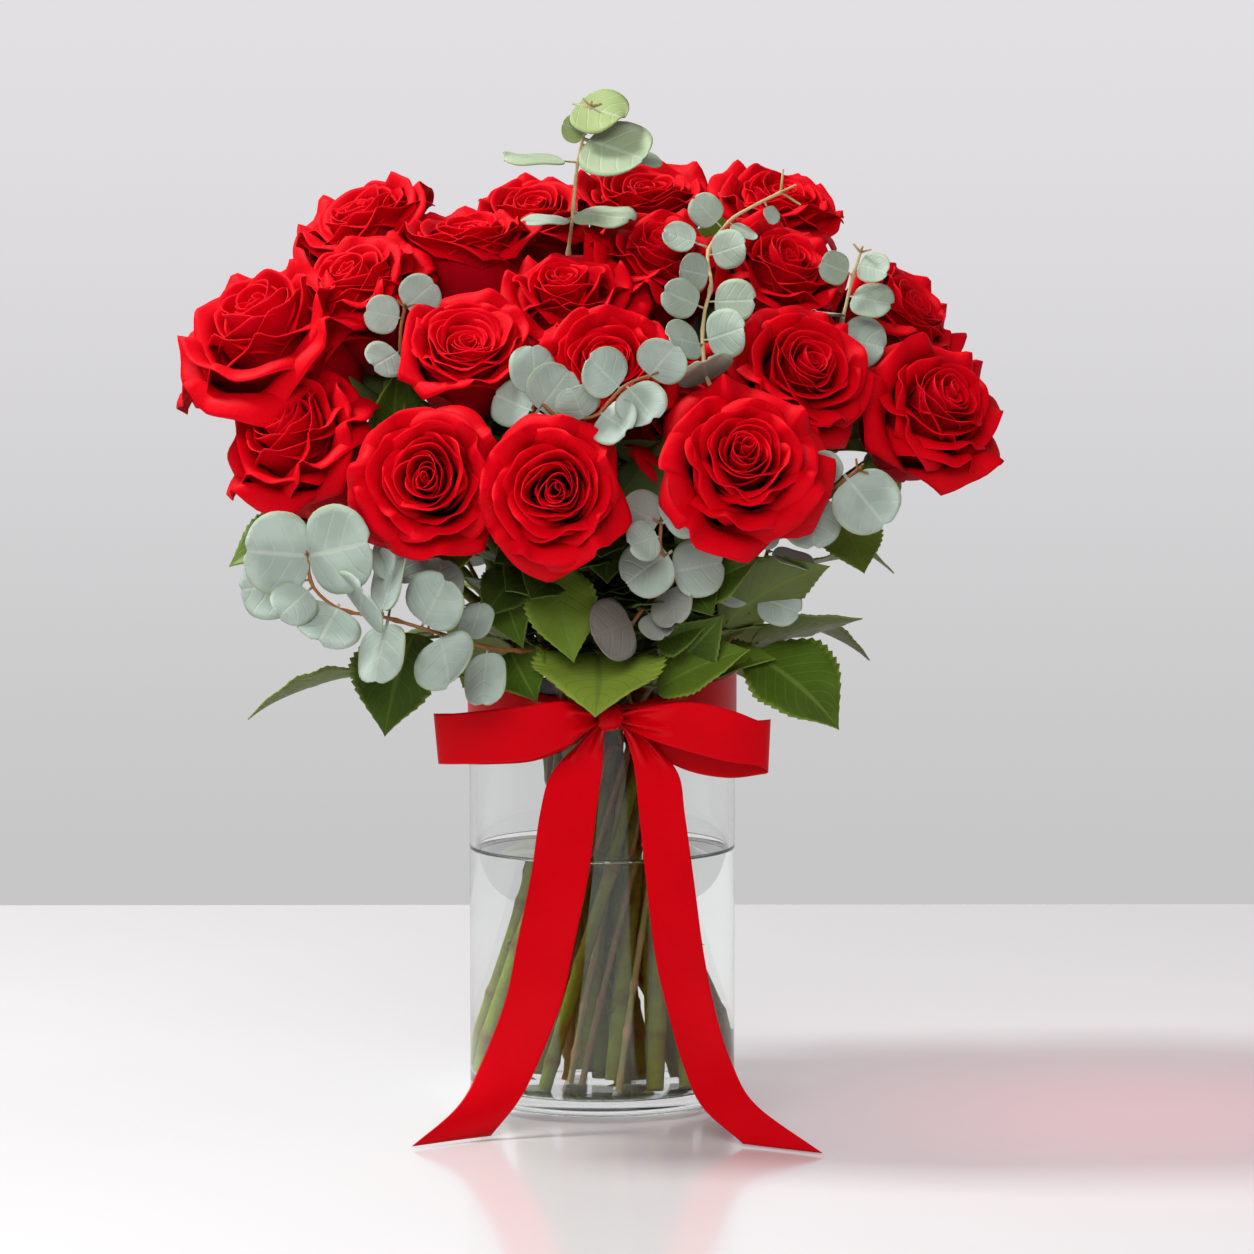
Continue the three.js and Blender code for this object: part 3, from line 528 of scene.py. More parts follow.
sockets = {0: aimed, 1: (THORN_LEAN, 0, 0)}
leant = out(stem_tree, "FunctionNodeRotateRotation", sockets, rotation_space="LOCAL")
sockets = {"Radius Top": 0.0, "Radius Bottom": times(given["Thorn Length"], 0.3), "Vertices": 6}
thorn = out(stem_tree, "GeometryNodeMeshCone", {**sockets, "Depth": given["Thorn Length"]})
lift = out(stem_tree, "ShaderNodeCombineXYZ", {2: times(given["Radius"], 0.6)})
thorn = out(stem_tree, "GeometryNodeTransform", {"Geometry": thorn, "Translation": lift})
sockets = {"ID": which, "Seed": plus(given["Seed"], 50.0), "Probability": given["Thorn Share"]}
chosen = put(stem_tree, "FunctionNodeRandomValue", sockets, data_type="BOOLEAN").outputs[3]
sockets = {"Points": dots[0], "Instance": thorn, "Rotation": leant, "Selection": chosen}
thorns = out(stem_tree, "GeometryNodeInstanceOnPoints", sockets)
end_shape_tree(both_shapes(tube, thorns), given, made)

# Mottling, for all that grew and for the satin: a soft cloud with finer specks in it.
mottle, given, made = new_group(
    "ShaderNodeTree",
    "Mottle",
    {"Vector": "Vector", "Scale": 40.0, "Fine": 6.0},
    {"Cloud": "Float", "Specks": "Float"},
)
cloud = noise(given["Vector"], given["Scale"], 3.0)
specks = noise(given["Vector"], times(given["Scale"], given["Fine"]))
mottle.links.new(ramp(cloud, 0.3, 0.7), made[0])
mottle.links.new(ramp(specks, 0.35, 0.75), made[1])


def mottling(tree, scale):
    """The two outputs of the mottle group, placed in a material."""
    placed = put(tree, "ShaderNodeGroup", node_tree=mottle)
    tree.links.new(object_place(tree), placed.inputs[0])
    placed.inputs[1].default_value = scale
    return placed.outputs


def stored(tree, name):
    """A value that the mesh carries at its points."""
    return put(tree, "ShaderNodeAttribute", attribute_name=name).outputs["Fac"]


BARK_SPECKS = (0.32, 0.29, 0.05, 1)


def stem_material(name, foot_colour, top_colour, node_colour):
    """Green or red-brown bark: it changes from foot to top, and darkens at the nodes."""
    material, tree, shader = new_material(name, {"Roughness": 0.5, "Specular IOR Level": 0.1})
    cloud, specks = mottling(tree, 90.0)
    colour = blend(ramp(stored(tree, "along"), 0.15, 0.75), foot_colour, top_colour)
    darker = blend(times(cloud, 0.5), colour, node_colour)
    colour = blend(times(stored(tree, "node"), 0.75), darker, node_colour)
    give(shader, "Base Color", blend(times(specks, 0.18), colour, BARK_SPECKS))
    give_relief(shader, specks, 0.25, 0.0006)
    return material


rose_bark = stem_material(
    "rose stem", (0.17, 0.225, 0.014, 1), (0.045, 0.095, 0.010, 1), (0.11, 0.045, 0.008, 1)
)
for i in range(len(ROSES)):
    radius = (2.9 + 0.9 * ((i * 7) % 5) / 4) * MM  # five thicknesses, in turn
    values = {"Radius": radius, "Seed": i, "Material": rose_bark}
    mesh = finished(line_mesh(rose_line(i)), stem_tree, values)
    new_piece(f"rose_{i + 1:02d}_cane", mesh, rose_bark, "rose_stem", f"rose_{i + 1:02d}_stem")

# ---- Rose blooms ----
# Each bloom is a spiral of velvety petals that grow on a small green base. The inner ones are rolled round
# each other, the middle ones stand in a cup, and the outer ones roll back, each with a point at its tip.
GOLDEN_TURN = math.pi * (3 - math.sqrt(5))
PETAL_THICKNESS = 0.005  # all petal sizes are shares of the bloom's diameter
PETALS = 34


def keep_at_points(mesh, name, values):
    """Stores a number or a vector for each point of the mesh."""
    values = np.array(values, np.float32)
    kind, key = ("FLOAT", "value") if values.ndim == 1 else ("FLOAT_VECTOR", "vector")
    mesh.attributes.new(name, kind, "POINT").data.foreach_set(key, values.ravel())


def thin_sheet(surface, thickness):
    """A closed mesh round a surface of rows and columns of points. Its side is 0 in front and 1 behind."""
    rows, columns, _ = surface.shape
    normal = np.cross(np.gradient(surface, axis=0), np.gradient(surface, axis=1))
    normal /= np.maximum(np.linalg.norm(normal, axis=2, keepdims=True), 1e-12)
    count = rows * columns
    points = np.concatenate([(surface + side * normal * thickness / 2).reshape(-1, 3) for side in (1, -1)])
    at = np.arange(count).reshape(rows, columns)
    front = np.stack([at[:-1, :-1], at[1:, :-1], at[1:, 1:], at[:-1, 1:]], axis=-1).reshape(-1, 4)
    round_it = np.concatenate([at[:, 0], at[-1, 1:], at[-2::-1, -1], at[0, -2::-1]])
    rim = np.stack([round_it[1:], round_it[:-1], round_it[:-1] + count, round_it[1:] + count], axis=-1)
    faces = np.concatenate([front, front[:, ::-1] + count, rim])
    mesh = bpy.data.meshes.new("sheet")
    mesh.from_pydata(points.tolist(), [], faces.tolist())
    across, along = np.meshgrid(np.linspace(0, 1, rows), np.linspace(0, 1, columns), indexing="ij")
    uv = np.tile(np.stack([across.ravel(), along.ravel()], axis=-1), (2, 1))
    corners = np.array([loop.vertex_index for loop in mesh.loops])
    mesh.uv_layers.new(name="UVMap").data.foreach_set("uv", uv[corners].astype(np.float32).ravel())
    keep_at_points(mesh, "side", np.repeat([0.0, 1.0], count))
    mesh.shade_smooth()
    return mesh


def petal(rank, openness, rng):
    """One petal, from the first inside at rank 0 to the last outside at rank 1, on the bloom's axis +Z."""
    def grow(inside, outside, power=1.0):
        """A size of the first petal that changes to that of the last."""
        return inside + (outside - inside) * rank**power

    u = np.linspace(-1, 1, 25 if rank < 0.35 else 21)[:, None]
    v = 1 - (1 - np.linspace(0, 1, 16)[None, :]) ** 1.35
    tip = np.exp(-(((u - rng.uniform(-0.3, 0.3)) / grow(0.3, 0.15)) ** 2))
    outline = 1 - grow(0.10, 0.20) * np.abs(u) ** 2.6 + grow(0.0, 0.085, 2.2) * tip
    share = v * outline
    foot = grow(0.45, 1.22 + 0.18 * openness, 0.62)
    upright = grow(0.30, 0.52 + 0.1 * openness)
    lean = grow(-0.05, -0.02 + 0.16 * openness)
    start = grow(0.86, 0.86 - 0.2 * openness)
    roll = grow(0.15, 1.1 + 1.1 * openness, 2.0) * rng.uniform(0.75, 1.2)
    uneven = 1 + 0.25 * u * rng.uniform(-1, 1)
    curl = np.clip((v - start) / (1 - start), 0, 1) ** 1.5 * (1 - 0.35 * tip) * uneven
    angle = foot * (1 - np.clip(share / upright, 0, 1)) ** 1.2 + lean + roll * curl
    length = grow(0.70, 0.84) * rng.uniform(0.97, 1.03)
    step = np.diff(share, axis=1, prepend=0.0) * length
    radius = grow(0.012, 0.06) + np.cumsum(np.sin(angle) * step, axis=1)
    height = grow(0.09, 0.04) + np.cumsum(np.cos(angle) * step, axis=1)
    middle = radius[len(u) // 2]
    half_width = grow(0.19, 0.53, 0.65) * (0.4 + 0.6 * np.sin(np.clip(v / 0.6, 0, 1) * math.pi / 2))
    rounded = 1 - 0.30 * np.clip((v - 0.62) / 0.38, 0, 1) ** 2
    turn = u * np.minimum(half_width * rounded / np.maximum(middle, 0.02), 2.9)
    waves = np.sin(u * rng.uniform(2.5, 5.5) + rng.uniform(0, 6.3)) * v**3
    radius = radius + grow(0.006, 0.016) * u + grow(0.0, 0.035, 1.5) * np.abs(u) ** 3 * v
    radius = radius + grow(0.004, 0.014) * waves
    height = height + grow(0.003, 0.007) * np.sin(u * rng.uniform(2, 5) + rng.uniform(0, 6.3)) * v**2
    return np.stack([radius * np.cos(turn), radius * np.sin(turn), height], axis=-1)


def petal_set(name, openness, seed):
    """A collection of the petals of one kind of bloom, from the first inside to the last outside."""
    kept = bpy.data.collections.new(name)
    rng = np.random.default_rng(seed)
    for k in range(PETALS):
        mesh = thin_sheet(petal(k / (PETALS - 1), openness, rng), PETAL_THICKNESS)
        kept.objects.link(bpy.data.objects.new(f"{name}_{k:02d}", mesh))
    return kept


# The tree takes the petals one by one and turns each by the golden angle from the last.
bloom_tree, given, made = new_shape_tree(
    "Spiral of petals",
    Petals="Collection",
    Count=PETALS,
    Diameter=0.066,
    Depth=1.12,
    Spin=0.0,
    Unevenness=0.06,
    Seed=0,
)
ROLLING = 0.10  # how far a slow unevenness moves the petals, in diameters


def random_share(extent, seed, number):
    """A random number from -extent to extent for each petal or leaf."""
    low = -extent if isinstance(extent, float) else times(extent, -1.0)
    sockets = {2: low, 3: extent, "ID": number, "Seed": seed}
    return put(number.id_data, "FunctionNodeRandomValue", sockets, data_type="FLOAT").outputs[1]


def shapes_of(collection):
    """The members of a collection, to be picked one by one."""
    sockets = {"Collection": collection, "Separate Children": True, "Reset Children": True}
    return out(collection.id_data, "GeometryNodeCollectionInfo", sockets)


def vector_of(x, y=0.0, z=0.0):
    """A vector of three values."""
    return out(tree_of((x, y, z)), "ShaderNodeCombineXYZ", {0: x, 1: y, 2: z})


number = out(bloom_tree, "GeometryNodeInputIndex")
uneven, size = given["Unevenness"], given["Diameter"]
seeds = [plus(given["Seed"], 100.0 * k) for k in range(4)]
spun = times_plus(number, GOLDEN_TURN, given["Spin"])
spun = plus(spun, random_share(times(uneven, 4.0), seeds[0], number))
tilts = [random_share(uneven, seed, number) for seed in seeds[1:3]]
sockets = {
    "Points": out(bloom_tree, "GeometryNodePoints", {"Count": given["Count"]}),
    "Instance": shapes_of(given["Petals"]),
    "Pick Instance": True,
    "Instance Index": number,
    "Rotation": vector_of(*tilts, spun),
    "Scale": plus(1.0, random_share(times(uneven, 0.6), seeds[3], number)),
}
placed = out(bloom_tree, "GeometryNodeInstanceOnPoints", sockets)
real = out(bloom_tree, "GeometryNodeRealizeInstances", {"Geometry": placed})
# A slow unevenness that neighbouring petals share.
place = out(bloom_tree, "GeometryNodeInputPosition")
sockets = {"Vector": place, "W": times(given["Seed"], 3.7), "Scale": 3.2, "Detail": 1.0}
cloud = put(bloom_tree, "ShaderNodeTexNoise", sockets, noise_dimensions="4D").outputs["Color"]
drift = out(bloom_tree, "ShaderNodeVectorMath", {0: cloud, 1: (0.5, 0.5, 0.5)}, operation="SUBTRACT")
drift = out(bloom_tree, "ShaderNodeVectorMath", {0: drift, "Scale": ROLLING}, operation="SCALE")
moved = out(bloom_tree, "GeometryNodeSetPosition", {"Geometry": real, "Offset": drift})
scale = vector_of(size, size, times(size, given["Depth"]))
grown = out(bloom_tree, "GeometryNodeTransform", {"Geometry": moved, "Scale": scale})
painted = out(bloom_tree, "GeometryNodeSetMaterial", {"Geometry": grown, "Material": given["Material"]})
bloom_tree.links.new(painted, made[0])

# Petal colour: brighter towards the rim and deep crimson towards the base, where the dark is painted shade. A
# thin painted highlight runs along the rim's very edge. It is a little duller on the outer side. Fine veins
# run from base to rim.
petal_red, tree, shader = new_material(
    "rose petal",
    {
        "Roughness": 0.6,
        "Specular IOR Level": 0.07,
        "Sheen Weight": 0.02,
        "Sheen Roughness": 0.35,
        "Sheen Tint": (1.0, 0.1, 0.15, 1),
    },
)
# The base colour is painted shade at each petal's foot, and the edge colour is a painted highlight along its
# rim.
PETAL_SHADED_BASE, PETAL_RIM = (0.12, 0.0, 0.001, 1), (0.68, 0.0, 0.007, 1)
PETAL_CLOUD, PETAL_OUTSIDE, PETAL_EDGE_HIGHLIGHT = (0.47, 0.0, 0.004, 1), (0.45, 0.0, 0.011, 1), (0.82, 0.004, 0.018, 1)


def along_uv(tree):
    """Across and along a sheet, each from 0 to 1."""
    return put(tree, "ShaderNodeSeparateXYZ", {0: out(tree, "ShaderNodeUVMap", uv_map="UVMap")}).outputs[:2]


across, along = along_uv(tree)
cloud, specks = mottling(tree, 45.0)
# Darker towards the base of each petal: painted shade.
colour = blend(ramp(along, 0.35, 1.0), PETAL_SHADED_BASE, PETAL_RIM)
colour = blend(times(cloud, 0.35), colour, PETAL_CLOUD)
colour = blend(times(calc("SUBTRACT", 1.0, stored(tree, "side")), 0.45), colour, PETAL_OUTSIDE)
# A lighter line along the very edge of the rim: painted highlight.
give(shader, "Base Color", blend(times(ramp(along, 0.965, 1.0), 0.4), colour, PETAL_EDGE_HIGHLIGHT))
veins = noise(vector_of(times(across, 60.0), times(along, 5.0)), 1.0, 3.0)
give_relief(shader, plus(veins, times(specks, 0.3)), 0.22, 0.0008)

# Four kinds of bloom: how open it is, how wide it gets in diameters of its size, and how deep it is.
KINDS = [
    ("cup", 0.3, 0.78, 0.96),
    ("tight", 0.6, 0.88, 1.02),
    ("open", 0.85, 0.98, 1.1),
    ("full", 1.05, 1.05, 1.12),
]
KIND_SEEDS = (3, 8, 21, 34)
KIND_OF_ROSE = [2, 1, 1, 0, 0, 2, 2, 2, 2, 1, 3, 2, 3, 2, 2, 1, 0, 0, 1, 1, 2, 3, 2, 3]
# How much wider than its solid each bloom is drawn.
SWELL = [1.2, 1.1, 1.08, 1.08, 1.04, 1.06, 1, 1.04, 1.08, 1.05, 1, 1.02, 0.99, 1.08, 1.08, 1.05, 1.08, 1.08]
SWELL += [1.05, 1.1] + 4 * [1.04]
kinds = [petal_set(name, openness, seed) for seed, (name, openness, _, _) in zip(KIND_SEEDS, KINDS)]
UP = Vector((0, 0, 1))


def on_bloom(i, mesh):
    """Moves a mesh from the axis of a bloom to where rose i has its base."""
    face = faces_of_blooms[i]
    turn = UP.rotation_difference(Vector(face)).to_matrix().to_4x4()
    sunk = 0.10 + 0.17 * face[2]  # the stem's end stands this far up inside the bloom, in diameters
    base = bases_of_blooms[i] - sunk * ROSES[i][5] * face
    mesh.transform(Matrix.Translation(Vector(base) * MM) @ turn)
    return mesh


for i, rose in enumerate(ROSES):
    _, _, width, depth = KINDS[KIND_OF_ROSE[i]]
    values = {
        "Petals": kinds[KIND_OF_ROSE[i]],
        "Count": PETALS,
        "Diameter": rose[5] * SWELL[i] * MM / width,
        "Depth": depth * width,
        "Spin": 0.9 * i,
        "Unevenness": 0.042,
        "Seed": i,
        "Material": petal_red,
    }
    mesh = on_bloom(i, finished(bpy.data.meshes.new("seed"), bloom_tree, values))
    new_piece(f"rose_{i + 1:02d}_petals", mesh, petal_red, "petal", f"rose_{i + 1:02d}_bloom")
for kind in kinds:
    for shape in list(kind.objects):
        bpy.data.objects.remove(shape)
    bpy.data.collections.remove(kind)

# ---- Calyxes ----
# Each bloom sits on a small green hip, the end of its stem grown thick. Five narrow pointed sepals grow from
# the hip and bend back from the petals.
SEPAL_LENGTH, SEPAL_HALF_WIDTH, SEPAL_THICKNESS = 0.028, 0.0036, 0.0005
SEPAL_STEPS, SEPALS = 10, 5
HIP = [(0, -0.010), (0.0030, -0.0092), (0.0048, -0.005), (0.0052, 0.0)]
HIP += [(0.0068, 0.004), (0.0062, 0.007), (0, 0.0075)]
HIP_SIDES = 16


def sepal():
    """One sepal with its base at the origin, growing out along +X and bending down, in metres."""
    v = np.linspace(0, 1, SEPAL_STEPS + 1)
    across = np.linspace(-1, 1, 5)[:, None]
    belly = np.sin(np.clip(v * 1.15 + 0.22, 0, 1.37) / 1.37 * math.pi) ** 0.8
    half = SEPAL_HALF_WIDTH * belly * (1 - v**4) + 0.0002
    bend = -0.25 + 1.9 * v**0.8
    step = SEPAL_LENGTH / SEPAL_STEPS
    x = 0.004 + np.cumsum(np.cos(bend)) * step
    z = 0.001 - np.cumsum(np.sin(bend)) * step
    x, z = np.broadcast_to(x, (5, len(v))), np.broadcast_to(z, (5, len(v))) + 0.0007 * across**2
    return thin_sheet(np.stack([x, across * half, z], axis=-1), SEPAL_THICKNESS)


calyx_tree, given, made = new_shape_tree("Calyx", Sepal="Object", Sepals=SEPALS, Size=1.0, Seed=0)
seed = given["Seed"]
shape = put(calyx_tree, "GeometryNodeObjectInfo", {"Object": given["Sepal"], "As Instance": True})
number = out(calyx_tree, "GeometryNodeInputIndex")
droop = random_share(0.35, seed, number)
round_it = times_plus(number, 2 * math.pi / SEPALS, seed)
sockets = {
    "Points": out(calyx_tree, "GeometryNodePoints", {"Count": given["Sepals"]}),
    "Instance": shape.outputs["Geometry"],
    "Rotation": vector_of(0.0, droop, plus(round_it, random_share(0.18, seed, number))),
    "Scale": plus(given["Size"], random_share(0.15, seed, number)),
}
placed = out(calyx_tree, "GeometryNodeInstanceOnPoints", sockets)
end_shape_tree(both_shapes(placed, given["Geometry"]), given, made)

calyx_green, tree, shader = new_material("rose calyx", {"Roughness": 0.55, "Specular IOR Level": 0.35})
cloud, specks = mottling(tree, 80.0)
colour = blend(cloud, (0.075, 0.17, 0.02, 1), (0.14, 0.23, 0.035, 1))
give(shader, "Base Color", blend(times(specks, 0.3), colour, (0.20, 0.10, 0.03, 1)))
sepal_shape = bpy.data.objects.new("sepal", sepal())
for i in range(len(ROSES)):
    values = {"Sepal": sepal_shape, "Size": 0.9 + 0.02 * (i % 11), "Seed": i, "Material": calyx_green}
    mesh = on_bloom(i, finished(turned(HIP, HIP_SIDES), calyx_tree, values))
    new_piece(f"rose_{i + 1:02d}_calyx", mesh, calyx_green, "rose_stem")
bpy.data.objects.remove(sepal_shape)

# ---- Rose leaves ----
# Oval leaves with toothed edges, each on a short stalk that joins the nearest rose stem at a node. The large
# ones show under the blooms. Smaller ones fill the bunch between the stems, darkened by painted shade.
ROSE_LEAVES = [  # base, tip, width, and the way its upper side looks, in mm
    ((-82, -62, 214), (-94, -84, 171), 42, (-0.2, -1, 0.5)),
    ((-108, -40, 194), (-156, -58, 177), 30, (-0.3, 0.3, 1)),
    ((-122, -34, 262), (-164, -50, 243), 30, (-0.4, -1, 0.6)),
    ((-2, -58, 204), (-3, -100, 182), 58, (0, -0.5, 1)),
    ((52, -72, 218), (98, -98, 246), 32, (0.3, 1, 0.9)),
    ((66, -46, 208), (114, -58, 220), 28, (0, 0.4, 1)),
    ((66, -54, 204), (103, -74, 173), 44, (0.4, -1, 0.5)),
    ((104, -54, 264), (114, -70, 241), 28, (0.2, -1, 0.3)),
    ((24, -68, 190), (64, -84, 209), 28, (-0.2, -0.9, 0.8)),
    ((40, -46, 192), (76, -62, 203), 30, (0.1, -0.6, 1)),
    ((50, -20, 192), (84, -34, 206), 30, (0.3, -0.2, 1)),
    ((30, -58, 198), (52, -88, 224), 28, (0.3, -1, 0.4)),
    ((-20, -76, 244), (-12, -92, 204), 32, (0.1, -1, 0.3)),
    ((-46, -70, 240), (-34, -88, 210), 22, (-0.3, -1, 0.3)),
    ((-92, -46, 298), (-88, -70, 330), 26, (0.4, -1, 0.3)),
    ((42, -78, 234), (66, -96, 248), 22, (0.2, -1, 0.4)),
    ((24, -66, 214), (46, -82, 220), 24, (0.1, -1, 0.4)),
    ((-40, -62, 206), (-28, -82, 186), 26, (-0.2, -1, 0.5)),
    ((-60, -74, 258), (-78, -96, 238), 24, (-0.2, -1, 0.4)),
    ((-44, 62, 214), (-66, 88, 176), 40, (-0.3, 1, 0.5)),
    ((48, 58, 212), (72, 86, 178), 40, (0.3, 1, 0.5)),
    ((4, 66, 216), (2, 104, 196), 40, (0, 0.5, 1)),
    ((82, 46, 232), (126, 64, 240), 34, (0.3, 0.3, 1)),
    ((-84, 44, 236), (-128, 62, 236), 34, (-0.3, 0.3, 1)),
    ((-76, 8, 208), (-116, 16, 188), 34, (-0.5, 0.1, 1)),
    ((80, 4, 214), (122, 10, 196), 34, (0.5, 0.1, 1)),
    ((34, 66, 250), (58, 96, 232), 32, (0.2, 1, 0.5)),
    ((4, 66, 268), (-10, 92, 244), 30, (-0.1, 1, 0.4)),
    ((98, 0, 256), (132, 4, 236), 30, (0.8, 0, 0.7)),
    ((50, 18, 366), (62, 26, 402), 32, (0, -1, 0.2)),
]

# The veins of a leaf, from its UV map: a midrib, and side veins that leave it at a slant towards the tip.
leaf_veins, given, made = new_group(
    "ShaderNodeTree",
    "Leaf veins",
    {"Vector": "Vector", "Veins": 9.0, "Slant": 0.35},
    {"Midrib": "Float", "Side Veins": "Float", "Edge": "Float"},
)
across, along, _ = put(leaf_veins, "ShaderNodeSeparateXYZ", {0: given["Vector"]}).outputs
off = calc("ABSOLUTE", times_plus(across, 2.0, -1.0))
leaf_veins.links.new(ramp(off, 0.02, 0.09, 1.0, 0.0), made[0])
slanted = times_plus(calc("POWER", off, 1.3), times(given["Slant"], -1.0), along)
slanted = times_plus(noise(given["Vector"], 4.0), 0.05, slanted)
beat = calc("FRACT", times(slanted, given["Veins"]))
beat = calc("ABSOLUTE", calc("SUBTRACT", beat, 0.5))
leaf_veins.links.new(times(ramp(beat, 0.0, 0.12, 1.0, 0.0), ramp(off, 0.75, 0.98, 1.0, 0.0)), made[1])
leaf_veins.links.new(ramp(off, 0.86, 1.0), made[2])
# A dark green that stands in for the shade deep in the bunch: painted shade.
SHADED_GREEN = (0.012, 0.020, 0.005, 1)


def leaf_material(
    name, upper, under, vein, edge, veins=9.0, slant=0.35, shine=0.42, bold=0.7, dusk_and_shade=SHADED_GREEN
):
    """A leaf's skin: its colours above, below and along the veins, and those of a high and a low tone. The
    low one is painted shade on the rose leaves, and a brown and violet colour on the eucalyptus.
    """
    material, tree, shader = new_material(name, {"Specular IOR Level": 0.22})
    placed = put(tree, "ShaderNodeGroup", node_tree=leaf_veins)
    tree.links.new(out(tree, "ShaderNodeUVMap", uv_map="UVMap"), placed.inputs[0])
    placed.inputs[1].default_value, placed.inputs[2].default_value = veins, slant
    midrib, side_veins, rim = placed.outputs
    cloud, specks = mottling(tree, 45.0)
    tone = stored(tree, "tone")
    deep = tuple(0.55 * channel for channel in upper[:3]) + (1,)
    colour = blend(times(cloud, 0.7), upper, deep)
    colour = blend(times(calc("MAXIMUM", tone, 0.0), 0.85), colour, edge)
    colour = blend(stored(tree, "side"), colour, under)
    lines = calc("MAXIMUM", times(midrib, bold), times(side_veins, 0.4 * bold))
    colour = blend(lines, colour, vein)
    colour = blend(times(rim, 0.45), colour, edge)
    # A low tone blends towards the dark colour: painted shade on the rose leaves.
    give(shader, "Base Color", blend(times(calc("MINIMUM", tone, 0.0), -0.8), colour, dusk_and_shade))
    give(shader, "Roughness", ramp(specks, 0.0, 1.0, shine, shine + 0.15))
    give_relief(shader, times_plus(plus(side_veins, midrib), -0.6, times(cloud, 0.8)), 0.35, 0.0007)
    return material


def along_axes(origin, direction, upper):
    """Takes +X to direction and +Z as near as can be to upper, with its zero at origin."""
    x = Vector(direction).normalized()
    y = Vector(upper).cross(x).normalized()
    matrix = Matrix((x, y, x.cross(y))).transposed().to_4x4()
    matrix.translation = origin
    return matrix


LEAF_THICKNESS = 0.6 * MM


def rose_leaf(length, width, rng, teeth=15):
    """One toothed leaf from the origin along +X, its upper side up, folded along its midrib and drooping."""
    steps = 3 * teeth + 1
    t = np.linspace(0, 1, steps)[None, :]
    across = np.linspace(-1, 1, 9)[:, None]
    outline = np.sin(math.pi * t**0.78) ** (0.68 + 0.5 * t)
    saw = 1 - (t * teeth) % 1.0
    half = width / 2 * (outline + 0.004) * (1 + 0.11 * (saw - 0.5) * np.abs(across) ** 6 * (t < 0.97))
    fold = rng.uniform(0.10, 0.32)
    ripple = 0.04 * np.sin(t * rng.uniform(14, 22) + 2.0 * np.sign(across)) * np.abs(across) ** 2
    y = across * half * math.cos(fold)
    z = half * (np.abs(across) * math.sin(fold) + ripple)
    droop = rng.uniform(0.10, 0.30)
    sway = rng.uniform(-0.08, 0.08)
    tip_curl = rng.uniform(-0.2, 0.5)
    angle = droop * (1 - 2 * t) - tip_curl * np.clip(t - 0.7, 0, 1)
    run = length / (steps - 1)
    x = np.cumsum(np.cos(angle) * run, axis=1) - run
    lift = np.cumsum(np.sin(angle) * run, axis=1)
    y = y + 2 * sway * length * t * (1 - t)
    surface = np.stack([np.broadcast_to(x, y.shape), y, z + lift], axis=-1)
    return thin_sheet(surface[::-1], LEAF_THICKNESS)


def joined(parts):
    """One mesh out of several."""
    kept = bpy.data.meshes.new("joined")
    whole = bmesh.new()
    for part in parts:
        whole.from_mesh(part)
    whole.to_mesh(kept)
    whole.free()
    for part in parts:
        bpy.data.meshes.remove(part)
    return kept


def with_tone(mesh, tone):
    """Gives every point of the mesh one value, by which its material shifts its colour."""
    keep_at_points(mesh, "tone", [tone] * len(mesh.vertices))
    return mesh


NODES = [0.05, 0.12, 0.2, 0.28, 0.36, 0.45, 0.54, 0.63, 0.72, 0.8]  # shares of a stem above its bend
LINE_STEPS = 60
BELOW_FIRST = 0.06  # metres by which a node above the leaf counts as farther away
rose_lines = [rose_line(i, LINE_STEPS) for i in range(len(ROSES))]


def nearest_node(base):
    """The stem and the point on it where a leaf with this base joins: nodes below the leaf come first."""
    best = None
    for i, line in enumerate(rose_lines):
        for share in NODES:
            point = line[1 + round(share * (LINE_STEPS - 1))]
            gap = np.linalg.norm(point - base) + (BELOW_FIRST if point[2] > base[2] else 0)
            if best is None or gap < best[0]:
                best = (gap, i, point)
    return best[1], best[2]


STALK_RISE = 4 * MM
INTO_BLADE = 0.06  # how far a stalk runs on into its blade, as a share of the blade's length


def stalk(start, end):
    """The centre line of a leaf's stalk, arched upwards between its two ends."""
    t = np.linspace(0, 1, 9)[:, None]
    return start + (end - start) * t + np.array([0, 0, STALK_RISE]) * t * (1 - t)


leaf_green = leaf_material(
    "rose leaf",
    (0.066, 0.128, 0.010, 1),
    (0.12, 0.165, 0.045, 1),
    (0.14, 0.21, 0.035, 1),
    (0.25, 0.35, 0.045, 1),
)
# Most of these leaves take low tones, which paint them in the dark shaded green: painted shade.
INNER_LEAVES, FRONT_LEAVES, REACHING_LEAVES, RIM_LEAVES = 66, 36, 18, 22
rng = np.random.default_rng(17)
leaves = []


def add_leaf(base, way, lengths, widths, up, tones):
    """Plans a small leaf from its base along a way. Its length, width and tone each come from a range."""
    tip = base + way * rng.uniform(*lengths)
    leaves.append((base, tip, rng.uniform(*widths), up, rng.uniform(*tones)))


for k in range(INNER_LEAVES):  # all through the bunch
    angle = GOLDEN_TURN * k
    climb = rng.uniform(0, 1)
    reach = rng.uniform(0.35, 0.95) * (34 + 56 * climb)
    base = np.array([reach * math.cos(angle), 0.85 * reach * math.sin(angle), 205 + 95 * climb])
    way = np.array([math.cos(angle), math.sin(angle), rng.uniform(-0.1, 0.7)])
    add_leaf(base, way, (30, 46), (24, 34), (-0.5 * way[0], -0.5 * way[1], 1), (-1.1, -0.4))
for k in range(FRONT_LEAVES):  # they stand dense and dark in front
    spread = rng.uniform(-1, 1)
    base = np.array([50 * spread, -30 - 16 * rng.random(), rng.uniform(200, 268)])
    way = np.array([0.9 * spread, -1, rng.uniform(-0.2, 0.9)]) / 1.3
    add_leaf(base, way, (26, 42), (22, 32), (-way[0], 0.4, 1), (-1.1, -0.5))
